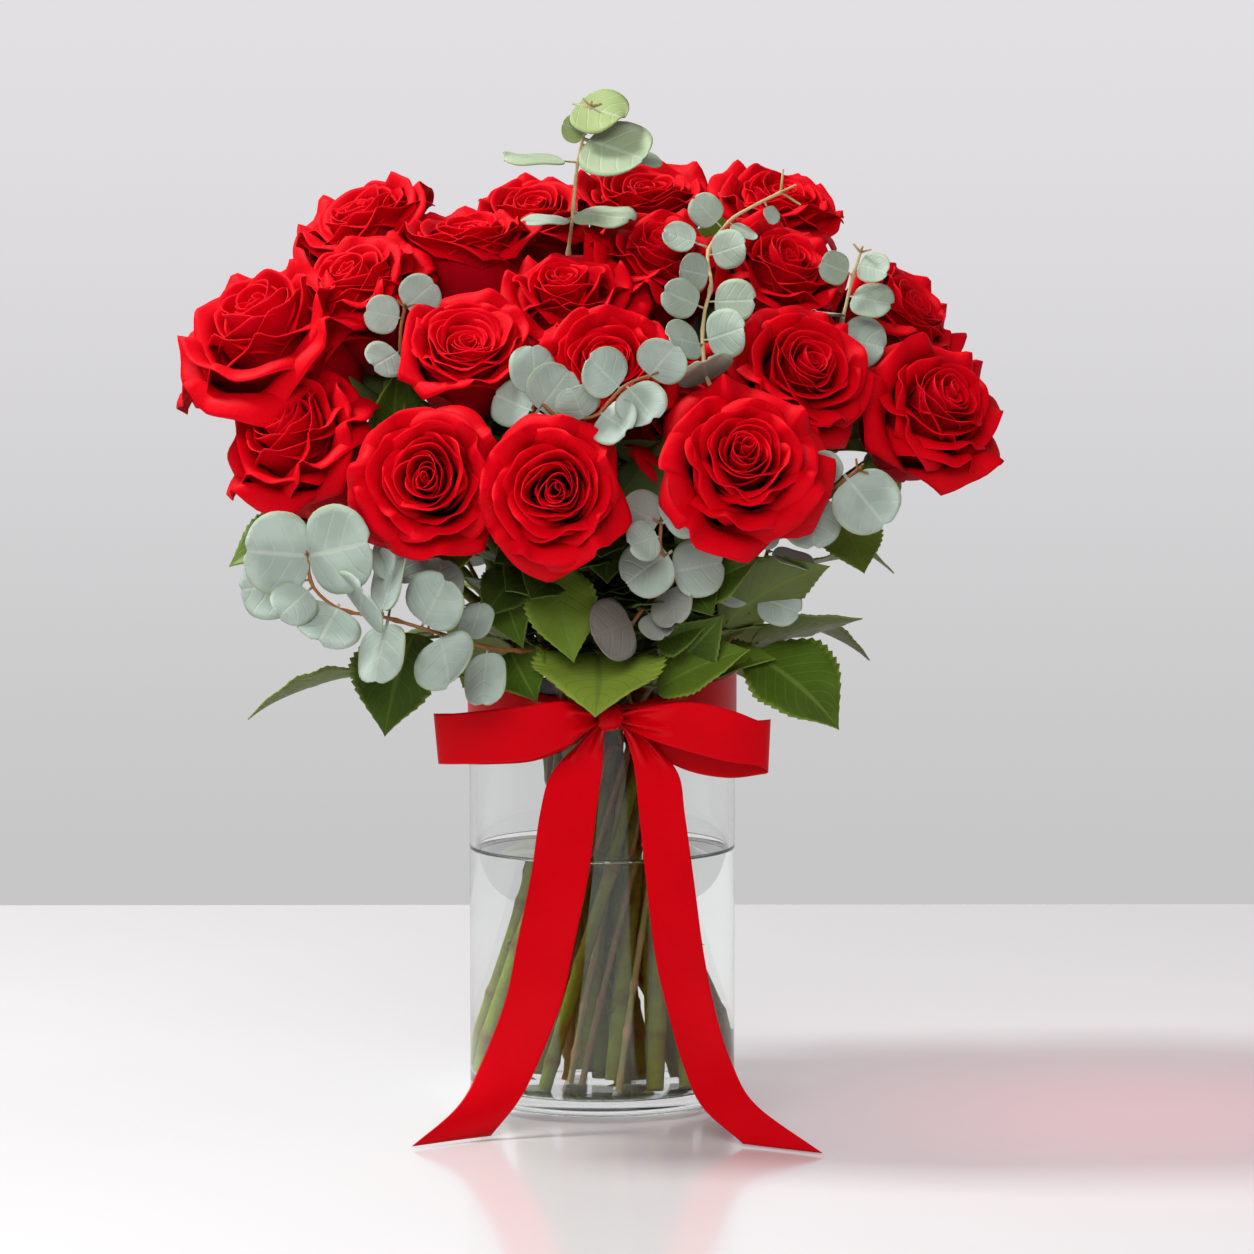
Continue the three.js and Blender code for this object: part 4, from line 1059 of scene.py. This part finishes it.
for k in range(REACHING_LEAVES):  # smaller ones before the stems that reach forwards
    spread = rng.uniform(-1, 1)
    base = np.array([48 * spread + 4, rng.uniform(-84, -60), rng.uniform(226, 262)])
    way = np.array([0.6 * spread, -0.6, rng.uniform(-1, 0.2)])
    add_leaf(base, way, (22, 30), (18, 26), (-way[0], -0.6, 1), (-1.1, -0.5))
for k in range(RIM_LEAVES):  # they lie on the rim
    angle = GOLDEN_TURN * k
    way = np.array([math.cos(angle), math.sin(angle), rng.uniform(0.1, 0.5)])
    base = 28 * way + (0, 0, rng.uniform(186, 200))
    add_leaf(base, way, (26, 36), (24, 32), (0, 0, 1), (-1, -0.3))
NEIGHBOURS = 78  # mm between the centres of two blooms, below which a top leaf stands in their gap
STEM_MIDDLE = np.array([0, 0, 250])
for i, rose in enumerate(ROSES):  # the top leaves of the stems, which fill the gaps between two blooms
    for other in ROSES[:i]:
        one, two = np.array(rose[:3]), np.array(other[:3])
        if np.linalg.norm(one - two) < NEIGHBOURS:
            inwards = (one + two) / 2 - STEM_MIDDLE
            inwards /= np.linalg.norm(inwards)
            tip = (one + two) / 2 - rng.uniform(8, 20) * inwards + rng.uniform(-6, 6, 3)
            base = tip - (inwards + rng.uniform(-0.5, 0.5, 3)) * rng.uniform(28, 40)
            leaves.append((base, tip, rng.uniform(20, 28), inwards + rng.uniform(-0.9, 0.9, 3), -0.5))
CENTRE_LEAF = 3  # the palest of the large ones, over the knot
for k, (base, tip, width, up) in enumerate(ROSE_LEAVES):
    tone = 1.0 if k == CENTRE_LEAF else rng.uniform(-0.3, 0.4)
    leaves.append((np.array(base, float), np.array(tip, float), width, up, tone))
leaves_of_stem = {}
stalk_values = {"Radius": 1.0 * MM, "Taper": 0.35, "Node Swelling": 0.0, "Thorn Share": 0.0, "Sides": 8}
for base, tip, width, up, tone in leaves:
    base, tip = base * MM, tip * MM
    i, node = nearest_node(base)
    blade = with_tone(rose_leaf(np.linalg.norm(tip - base), width * MM, rng), tone)
    blade.transform(along_axes(base, tip - base, up))
    line = line_mesh(stalk(node, base + INTO_BLADE * (tip - base)))
    stem = with_tone(finished(line, stem_tree, {**stalk_values, "Material": leaf_green}), tone)
    leaves_of_stem.setdefault(i, []).extend([blade, stem])
for i, parts in sorted(leaves_of_stem.items()):
    new_piece(f"rose_{i + 1:02d}_leaves", joined(parts), leaf_green, "rose_stem")

# ---- Eucalyptus ----
# Nine silver-dollar twigs stand in the vase with the roses. Their round grey-green leaves are thin, waxy and
# a little cupped, and they grow on short stalks along the twig.
ROUND_LEAF_KINDS = 5


def round_leaf(rng):
    """One round leaf with its base at the origin, of length 1 along +X and width 1, its upper side up."""
    across = np.linspace(-1, 1, 11)[:, None]
    stalk_end, half_stalk = 0.10, 0.022
    to_tip = 0.5 - 0.5 * np.cos(np.linspace(0, math.pi, 14))
    x = np.concatenate([[0], stalk_end + (1 - stalk_end) * to_tip])
    blade = np.clip((x - stalk_end) / (1 - stalk_end), 0, 1)
    half = half_stalk + 0.48 * (1 - np.abs(2 * blade**0.93 - 1) ** 2.3) ** (1 / 2.3)
    half = np.where(x < stalk_end, half_stalk, half)
    half[-1] = 0.10
    notch = rng.uniform(0.0, 0.05) * (1 - np.abs(across)) ** 2 * (blade > 0.9)
    cup = rng.uniform(-0.05, 0.16)
    wave_height, beats, start = rng.uniform(0.02, 0.05), rng.uniform(0.8, 1.5), rng.uniform(0, 6)
    wave = wave_height * np.sin(2 * math.pi * blade * beats + 2.5 * across + start)
    z = cup * (across**2 * half + (blade - 0.5) ** 2 * 0.8)
    z = z + wave * (0.3 + np.abs(across)) * blade * (half > 0.05)
    y = across * half
    surface = np.stack([np.broadcast_to(x, y.shape) - notch, y, z], axis=-1)
    return thin_sheet(surface[::-1], 0.02)


gum_tree, given, made = new_shape_tree(
    "Leaves on a twig", Leaves="Collection", Size=1.0, Unevenness=0.12, Seed=0
)
seed = given["Seed"]
number = out(gum_tree, "GeometryNodeInputIndex")
sockets = {4: 0, 5: ROUND_LEAF_KINDS - 1, "ID": number, "Seed": seed}
kind = put(gum_tree, "FunctionNodeRandomValue", sockets, data_type="INT").outputs[2]
turn = out(gum_tree, "GeometryNodeInputNamedAttribute", {"Name": "turn"}, data_type="FLOAT_VECTOR")
size = out(gum_tree, "GeometryNodeInputNamedAttribute", {"Name": "size"}, data_type="FLOAT_VECTOR")
roll = vector_of(random_share(given["Unevenness"], seed, number))
sockets = {
    "Points": out(gum_tree, "GeometryNodeMeshToPoints", {"Mesh": given["Geometry"]}),
    "Instance": shapes_of(given["Leaves"]),
    "Pick Instance": True,
    "Instance Index": kind,
    "Rotation": out(gum_tree, "FunctionNodeRotateRotation", {0: turn, 1: roll}, rotation_space="LOCAL"),
    "Scale": out(gum_tree, "ShaderNodeVectorMath", {0: size, "Scale": given["Size"]}, operation="SCALE"),
}
end_shape_tree(out(gum_tree, "GeometryNodeInstanceOnPoints", sockets), given, made)

gum_green = leaf_material(
    "eucalyptus leaf",
    (0.40, 0.485, 0.435, 1),
    (0.25, 0.28, 0.25, 1),
    (0.56, 0.60, 0.50, 1),
    (0.28, 0.36, 0.14, 1),
    veins=6.0,
    slant=0.22,
    shine=0.55,
    bold=0.3,
    dusk_and_shade=(0.17, 0.125, 0.11, 1),
)
twig_brown = stem_material(
    "eucalyptus twig", (0.16, 0.14, 0.06, 1), (0.30, 0.12, 0.05, 1), (0.22, 0.07, 0.03, 1)
)
twig_green = stem_material(
    "young eucalyptus twig", (0.22, 0.22, 0.07, 1), (0.50, 0.45, 0.24, 1), (0.45, 0.25, 0.15, 1)
)
LEAF_SCALES = {3: 1.22, 4: 1.12, 5: 1.28}  # how much wider the leaves of the older sprigs are drawn
USUAL_SCALE = 1.06
TOP_SPRIG, LONG_TIPPED_SPRIG, WIDE_LEAVED_SPRIG = 0, 1, 4
DUSKY_SPRIG = 5  # in the shade below the blooms, where some leaves turn brown and violet
YOUNG_SPRIGS = (0, 1, 2)  # fresher and greener than the others, most of all the one on top
TIP_LEAVES = 4  # they unfold at the twig's very tip, still as thin as needles
NEEDLE, LONG_NEEDLE, NEEDLE_SPREAD = 2.6 * MM, 5.5 * MM, 1.6
rng = np.random.default_rng(5)
leaf_kinds = bpy.data.collections.new("round leaves")
for k in range(ROUND_LEAF_KINDS):
    leaf_kinds.objects.link(bpy.data.objects.new(f"round_leaf_{k}", round_leaf(rng)))
twig_values = {"Radius": 1.4 * MM, "Taper": 0.5, "Node Spacing": 0.022, "Thorn Share": 0.0, "Sides": 10}
stalk_values = {"Radius": 0.65 * MM, "Taper": 0.3, "Node Swelling": 0.0, "Thorn Share": 0.0, "Sides": 6}
for j, (_, leaves) in enumerate(SPRIGS):
    line = twig_line(j)
    bark = twig_green if j in YOUNG_SPRIGS else twig_brown
    twig = finished(line_mesh(line), stem_tree, {**twig_values, "Seed": j, "Material": bark})
    shortest = 0.86 if j == WIDE_LEAVED_SPRIG else 0.95
    fresh = 0.7 if j == TOP_SPRIG else 0.35 if j in YOUNG_SPRIGS else 0.1
    bases, turns, sizes, tones, stalks = [], [], [], [], []
    for x, y, z, half_width, *up in leaves:
        centre = np.array([x, y, z]) * MM
        base = line[1 + np.argmin(np.linalg.norm(line[1:] - centre, axis=1))]
        reach = np.linalg.norm(centre - base)
        width = 2.0 * half_width * MM * LEAF_SCALES.get(j, USUAL_SCALE)
        length = np.clip(2 * reach, shortest * width, 1.08 * width)
        outwards = (centre - base) / reach
        centre -= outwards * 0.45 * max(reach - length / 2 - 1.5 * MM, 0.0)
        blade_base = centre - outwards * length / 2
        stalks.append((base, blade_base + INTO_BLADE * length * outwards))
        bases.append(blade_base)
        turns.append(tuple(along_axes((0, 0, 0), outwards, up).to_euler()))
        sizes.append((length, width, (length + width) / 2))
        dusk_and_shade = -rng.uniform(0.2, 1.0) if j == DUSKY_SPRIG and rng.random() < 0.5 else None
        tones.append(fresh * rng.uniform(0.3, 1.0) if dusk_and_shade is None else dusk_and_shade)
    if j == TOP_SPRIG:
        tones[0], tones[1] = 1.15, 1.15
    tip, rise = line[-1], line[-1] - line[-3]
    rise /= np.linalg.norm(rise)
    sideways = np.cross(rise, (0, -1, 0))
    needle = LONG_NEEDLE if j == LONG_TIPPED_SPRIG else NEEDLE
    for k in range(TIP_LEAVES):
        turn = k * 2 * math.pi / TIP_LEAVES
        aside = math.cos(turn) * sideways + math.sin(turn) * np.cross(rise, sideways)
        stalks.append((tip, tip + (rise + NEEDLE_SPREAD * aside) * needle))
    points = bpy.data.meshes.new("leaf bases")
    points.from_pydata([tuple(base) for base in bases], [], [])
    for label, values in (("turn", turns), ("size", sizes), ("tone", tones)):
        keep_at_points(points, label, values)
    lines = bpy.data.meshes.new("stalks")
    ends = [tuple(end) for pair in stalks for end in pair]
    lines.from_pydata(ends, [(k, k + 1) for k in range(0, len(ends), 2)], [])
    twig = joined([twig, finished(lines, stem_tree, {**stalk_values, "Material": bark})])
    new_piece(f"eucalyptus_{j + 1}_twig", twig, bark, "eucalyptus", f"eucalyptus_{j + 1}")
    mesh = finished(points, gum_tree, {"Leaves": leaf_kinds, "Seed": j, "Material": gum_green})
    new_piece(f"eucalyptus_{j + 1}_leaves", mesh, gum_green, "eucalyptus", f"eucalyptus_{j + 1}")

# ---- Ribbon ----
# One length of plain red satin ribbon, 25 mm wide. It goes once round the vase just under the lip, and it is
# tied in front in a bow: two loops, two tails cut at a slant that hang to the table, and a tight knot.
RIBBON_WIDTH, RIBBON_THICKNESS = 25 * MM, 0.3 * MM
KNOT_PLACE, KNOT_RADIUS = (3.6, -74.0, 178.6), 5.6
KNOT_SIDE = 3.3  # degrees from the front to where the knot sits
KNOT_WEAVE = (40, 6)  # how dense its threads look across and along
KNOT_REACH = 0.62  # radians to both sides of the knot in which the band is drawn in
BAND_GAP = 0.35 * MM
BAND_HEIGHTS, BAND_GATHERING = (167.0, 191.8), (7.0, 9.0)  # of its two edges, and how far each is drawn in
TAILS = [  # the left and right edge of each tail from the knot to its end, in mm
    [((-2, -72, 176), (4, -72, 179)), ((-10, -70, 167), (1, -71, 171)), ((-22, -71, 154), (0, -71, 156)),
     ((-27, -73, 137), (-2, -72, 141)), ((-31, -75, 110), (-6, -75, 110)),
     ((-37, -81, 81), (-12, -81, 81)), ((-42, -87, 57), (-17, -87, 58)), ((-52, -98, 32), (-25, -94, 37)),
     ((-62, -111, 15), (-35, -101, 17)), ((-81, -128, 1), (-48, -105, 1))],
    [((3, -72, 179), (9, -72, 176)), ((10, -71, 171), (21, -70, 168)), ((14, -71, 156), (33, -71, 154)),
     ((16, -72, 137), (36, -73, 136)), ((19, -75, 108), (40, -75, 107)), ((23, -82, 75), (44, -81, 77)),
     ((29, -90, 50), (49, -89, 52)), ((35, -98, 30), (56, -98, 31)), ((43, -109, 14), (66, -115, 16)),
     ((60, -123, 1), (93, -143, 1))],
]
LOOPS = [  # the upper and lower edge of each loop from the knot outwards and back, in mm
    [((-3, -76, 181.5), (-2, -76, 175)), ((-16, -83, 186.5), (-14, -83, 168)),
     ((-32, -86, 185), (-31, -86, 161.5)), ((-50, -86, 183), (-49, -86, 160)),
     ((-66, -81, 181), (-64, -81, 159)), ((-73, -75, 180.5), (-71, -75, 158.5)),
     ((-68, -70, 180), (-66, -70, 158)), ((-50, -68, 180), (-48, -68, 157.5)),
     ((-30, -67, 181), (-29, -67, 159)), ((-14, -67, 182), (-13, -67, 166)),
     ((-3, -68, 181), (-3, -68, 176))],
    [((9, -76, 181), (10, -76, 175)), ((22, -84, 185), (20, -84, 170.5)),
     ((40, -88, 186.5), (38, -88, 165)), ((56, -87, 183), (55, -87, 160.5)),
     ((68, -82, 178), (67, -82, 158.5)), ((73, -76, 178), (72, -76, 155)),
     ((69, -70, 177), (68, -70, 153)), ((55, -68, 176), (54, -68, 151.5)),
     ((36, -67, 178), (36, -67, 155)), ((18, -67, 180), (18, -67, 165)), ((9, -68, 181), (9, -68, 176))],
]
FOLDS = 2.0
FLAT_SLACK = 1.38  # width over chord, below which the strip lies flat and only curls
DEEPEST_FOLD = 1.8 * MM


def gathered(edges, rng, cup=0.0):
    """A strip between two edge lines. Where they come nearer than its width it lies in folds."""
    share = np.linspace(0, 1, 25)[None, :, None]
    strip = edges[:, :1] * (1 - share) + edges[:, 1:] * share
    along = np.gradient((edges[:, 0] + edges[:, 1]) / 2, axis=0)
    wide = edges[:, 1] - edges[:, 0]
    normal = np.cross(wide, along)
    normal /= np.linalg.norm(normal, axis=1, keepdims=True)
    chord = np.linalg.norm(wide, axis=1)
    slack = np.sqrt(np.clip(RIBBON_WIDTH / chord - FLAT_SLACK, 0, 2.0))
    depth = np.minimum(chord / (math.pi * FOLDS) * slack, DEEPEST_FOLD)[:, None]
    drift = rng.uniform(0, 6.3) + np.linspace(0, 0.8, len(edges))[:, None]
    across = share[..., 0]
    wave = np.sin(2 * math.pi * FOLDS * across + drift) + 0.45 * np.sin(2 * math.pi * 1.7 * FOLDS * across)
    bulge = cup * (1 - (2 * across - 1) ** 2)
    return strip + normal[:, None, :] * (depth * wave + bulge)[..., None]


def band():
    """The turn round the vase: a flat band, gathered where it runs into the knot."""
    angle = np.radians(np.linspace(-90 + KNOT_SIDE, 270 + KNOT_SIDE, 145))
    from_knot = (angle + math.pi / 2 - math.radians(KNOT_SIDE) + math.pi) % (2 * math.pi) - math.pi
    near = np.exp(-((np.abs(from_knot) / KNOT_REACH) ** 1.7))
    tilt = 1.0 * np.cos(angle)
    bottom = (BAND_HEIGHTS[0] + tilt + BAND_GATHERING[0] * near) * MM
    top = (BAND_HEIGHTS[1] + tilt - BAND_GATHERING[1] * near) * MM
    radius = VASE_RADIUS + (0.5 + 6.0 * near**2) * MM
    x, y = radius * np.cos(angle), radius * np.sin(angle)
    edges = np.stack([np.stack([x, y, edge], axis=-1) for edge in (bottom, top)], axis=1)
    strip = gathered(edges, np.random.default_rng(4))
    away = np.linalg.norm(strip[..., :2], axis=-1, keepdims=True)
    clear = VASE_RADIUS + BAND_GAP
    strip[..., :2] *= np.maximum(away, clear) / away
    return strip


def knot():
    """The short wrap that holds the bow: a tight pillow with folds that run over it from top to bottom."""
    round_it, over = np.meshgrid(np.linspace(0, 2 * math.pi, 49), np.linspace(0, math.pi, 25), indexing="ij")

    def pillow(value):
        """Blunts a round form towards a square one."""
        return np.sign(value) * np.abs(value) ** 0.72

    folds = 1 + 0.07 * np.sin(7 * np.sin(over) * np.cos(round_it) + 0.6) + 0.03 * np.sin(3 * round_it + 1)
    x = KNOT_RADIUS * pillow(np.sin(over)) * pillow(np.cos(round_it)) * folds
    y = KNOT_RADIUS * pillow(np.sin(over)) * pillow(np.sin(round_it)) * folds
    z = KNOT_RADIUS * np.cos(over) * (1 + 0.05 * np.cos(round_it * 2)) + 0.5 * np.sin(1.5 * x / KNOT_RADIUS)
    points = (np.stack([x, y, z], axis=-1) + KNOT_PLACE) * MM
    rows, inner = points.shape[0] - 1, points.shape[1] - 2  # the first and last row are the same
    ring = points[:-1, 1:-1].reshape(-1, 3).tolist()
    ends = [points[0, 0].tolist(), points[0, -1].tolist()]
    faces = []
    for row in range(rows):
        after = (row + 1) % rows
        faces.append((len(ring), row * inner, after * inner))
        faces.append((len(ring) + 1, after * inner + inner - 1, row * inner + inner - 1))
        for column in range(inner - 1):
            corner, beyond = row * inner + column, after * inner + column
            faces.append((corner, corner + 1, beyond + 1, beyond))
    mesh = bpy.data.meshes.new("knot")
    mesh.from_pydata(ring + ends, [], faces)
    mesh.shade_smooth()
    uv = np.zeros((len(mesh.loops), 2), np.float32)
    for k, loop in enumerate(mesh.loops):
        place = mesh.vertices[loop.vertex_index].co
        across, up = place.x - KNOT_PLACE[0] * MM, place.z - KNOT_PLACE[2] * MM
        uv[k] = (0.5 + across * KNOT_WEAVE[0], up * KNOT_WEAVE[1])
    mesh.uv_layers.new(name="UVMap").data.foreach_set("uv", uv.ravel())
    return mesh


satin, tree, shader = new_material(
    "red satin",
    {
        "Roughness": 0.34,
        "Specular IOR Level": 0.16,
        "Specular Tint": (1.0, 0.45, 0.45, 1),
        "Anisotropic": 0.6,
        "Sheen Weight": 0.05,
        "Sheen Roughness": 0.3,
        "Sheen Tint": (1.0, 0.2, 0.2, 1),
    },
)
across, along = along_uv(tree)
edge = calc("ABSOLUTE", times_plus(across, 2.0, -1.0))
cloud, _ = mottling(tree, 25.0)
colour = blend(times(cloud, 0.4), (0.62, 0.0, 0.005, 1), (0.46, 0.0, 0.003, 1))
give(shader, "Base Color", blend(times(ramp(edge, 0.93, 0.96), 0.3), colour, (0.48, 0.0, 0.005, 1)))
weave = noise(vector_of(times(across, 160.0), times(along, 12.0)), 1.0, 1.0)
give_relief(shader, weave, 0.08, 0.0003)

rng = np.random.default_rng(12)
strips = [band()]
for lines, cup in ((LOOPS, 0.0), (TAILS, 0.5 * MM)):
    for rows in lines:
        strips.append(gathered(smooth_line(np.array(rows, float) * MM), rng, cup))
mesh = joined([thin_sheet(strip, RIBBON_THICKNESS) for strip in strips] + [knot()])
ribbon = new_piece("ribbon_bow", mesh, satin, "ribbon", "ribbon")

# ---- Table, light and camera ----
# A glossy white table with its far edge behind the vase, in a plain pale grey room with large soft lights.
# They only show the bouquet and are no part of it.
TABLE_BACK = 588 * MM
TABLE_TOP = -0.15 * MM  # a hair under the glass, so that the two faces don't share a plane
WALL_LOW, WALL_HIGH = (0.565, 0.56, 0.565, 1), (0.765, 0.75, 0.77, 1)
ROOM_IN_FRONT, SOFT_LIGHT = (0.22, 0.215, 0.22, 1), (0.325, 0.265, 0.28, 1)
CAMERA_BACK, CAMERA_HEIGHT = 1.93, 0.368
CAMERA_DOWN, CAMERA_LEFT = 4.62, -0.333  # degrees
FOCAL_LENGTH, SENSOR_WIDTH = 123.36, 36.0

table_mesh = bpy.data.meshes.new("table")
corners = [(-3, -4), (3, -4), (3, TABLE_BACK), (-3, TABLE_BACK)]
table_mesh.from_pydata([(x, y, TABLE_TOP) for x, y in corners], [], [(0, 1, 2, 3)])
table = new_object("table", table_mesh)
table_white, tree, shader = new_material("white table", {"Specular IOR Level": 0.4})
smudge = noise(object_place(tree), 3.0)
give(shader, "Roughness", ramp(smudge, 0.3, 0.7, 0.10, 0.16))
give(shader, "Base Color", blend(smudge, (0.625, 0.62, 0.625, 1), (0.665, 0.66, 0.665, 1)))
table_mesh.materials.append(table_white)

room = bpy.data.worlds.new("room")
bpy.context.scene.world = room
room.use_nodes = True
sky = room.node_tree
around = put(sky, "ShaderNodeTexCoord").outputs["Generated"]
_, ahead, up = put(sky, "ShaderNodeSeparateXYZ", {0: around}).outputs
wall = blend(ramp(up, -0.17, 0.09), WALL_LOW, WALL_HIGH)
# Reflections show a darker room in front. Soft light that falls on things is weaker than the wall looks, and
# a little pink from all the red near by.
rays = put(sky, "ShaderNodeLightPath").outputs
mirrored = calc("MINIMUM", rays["Glossy Depth"], 1.0)
wall = blend(times(ramp(ahead, -0.5, 0.3, 1.0, 0.0), mirrored), wall, ROOM_IN_FRONT)
softened = calc("MINIMUM", rays["Diffuse Depth"], 1.0)
sky.links.new(blend(softened, wall, SOFT_LIGHT), sky.nodes["Background"].inputs[0])


def soft_light(name, place, aim, width, height, watts, colour=(0.97, 1.0, 0.985), shows=False):
    """A glowing panel at a place that faces an aim. Mirrors and the camera see it only where it shows."""
    lamp = bpy.data.lights.new(name, "AREA")
    lamp.shape, lamp.size, lamp.size_y, lamp.energy = "RECTANGLE", width, height, watts
    lamp.color = colour
    holder = new_object(name, lamp)
    holder.location = place
    holder.rotation_euler = (Vector(aim) - Vector(place)).to_track_quat("-Z", "Y").to_euler()
    holder.visible_camera = holder.visible_glossy = holder.visible_transmission = shows


soft_light("key_light", (-0.95, 0.08, 1.65), (0, 0, 0.25), 0.34, 0.34, 34, shows=True)
soft_light("front_fill", (-0.3, -2.3, 1.1), (0, 0, 0.28), 1.3, 0.9, 10.5)
soft_light("back_light", (-0.5, 1.4, 1.2), (0, 0, 0.25), 1.2, 0.8, 3)
soft_light("near_light", (-0.2, -1.05, 0.8), (-0.15, -0.78, 0), 0.9, 0.5, 8)
# A small red lamp stands in for the red that the blooms throw on the table beside the vase.
soft_light("petal_glow", (0.24, -0.05, 0.15), (0.26, -0.06, 0), 0.16, 0.16, 0.15, (1.0, 0.12, 0.2))

lens = bpy.data.cameras.new("camera")
lens.lens, lens.sensor_width = FOCAL_LENGTH, SENSOR_WIDTH
lens.dof.use_dof = False
camera = new_object("camera", lens)
camera.location = (0, -CAMERA_BACK, CAMERA_HEIGHT)
camera.rotation_euler = (math.radians(90 - CAMERA_DOWN), 0, math.radians(CAMERA_LEFT))
bpy.context.scene.camera = camera
bpy.context.scene.view_settings.view_transform = "Standard"
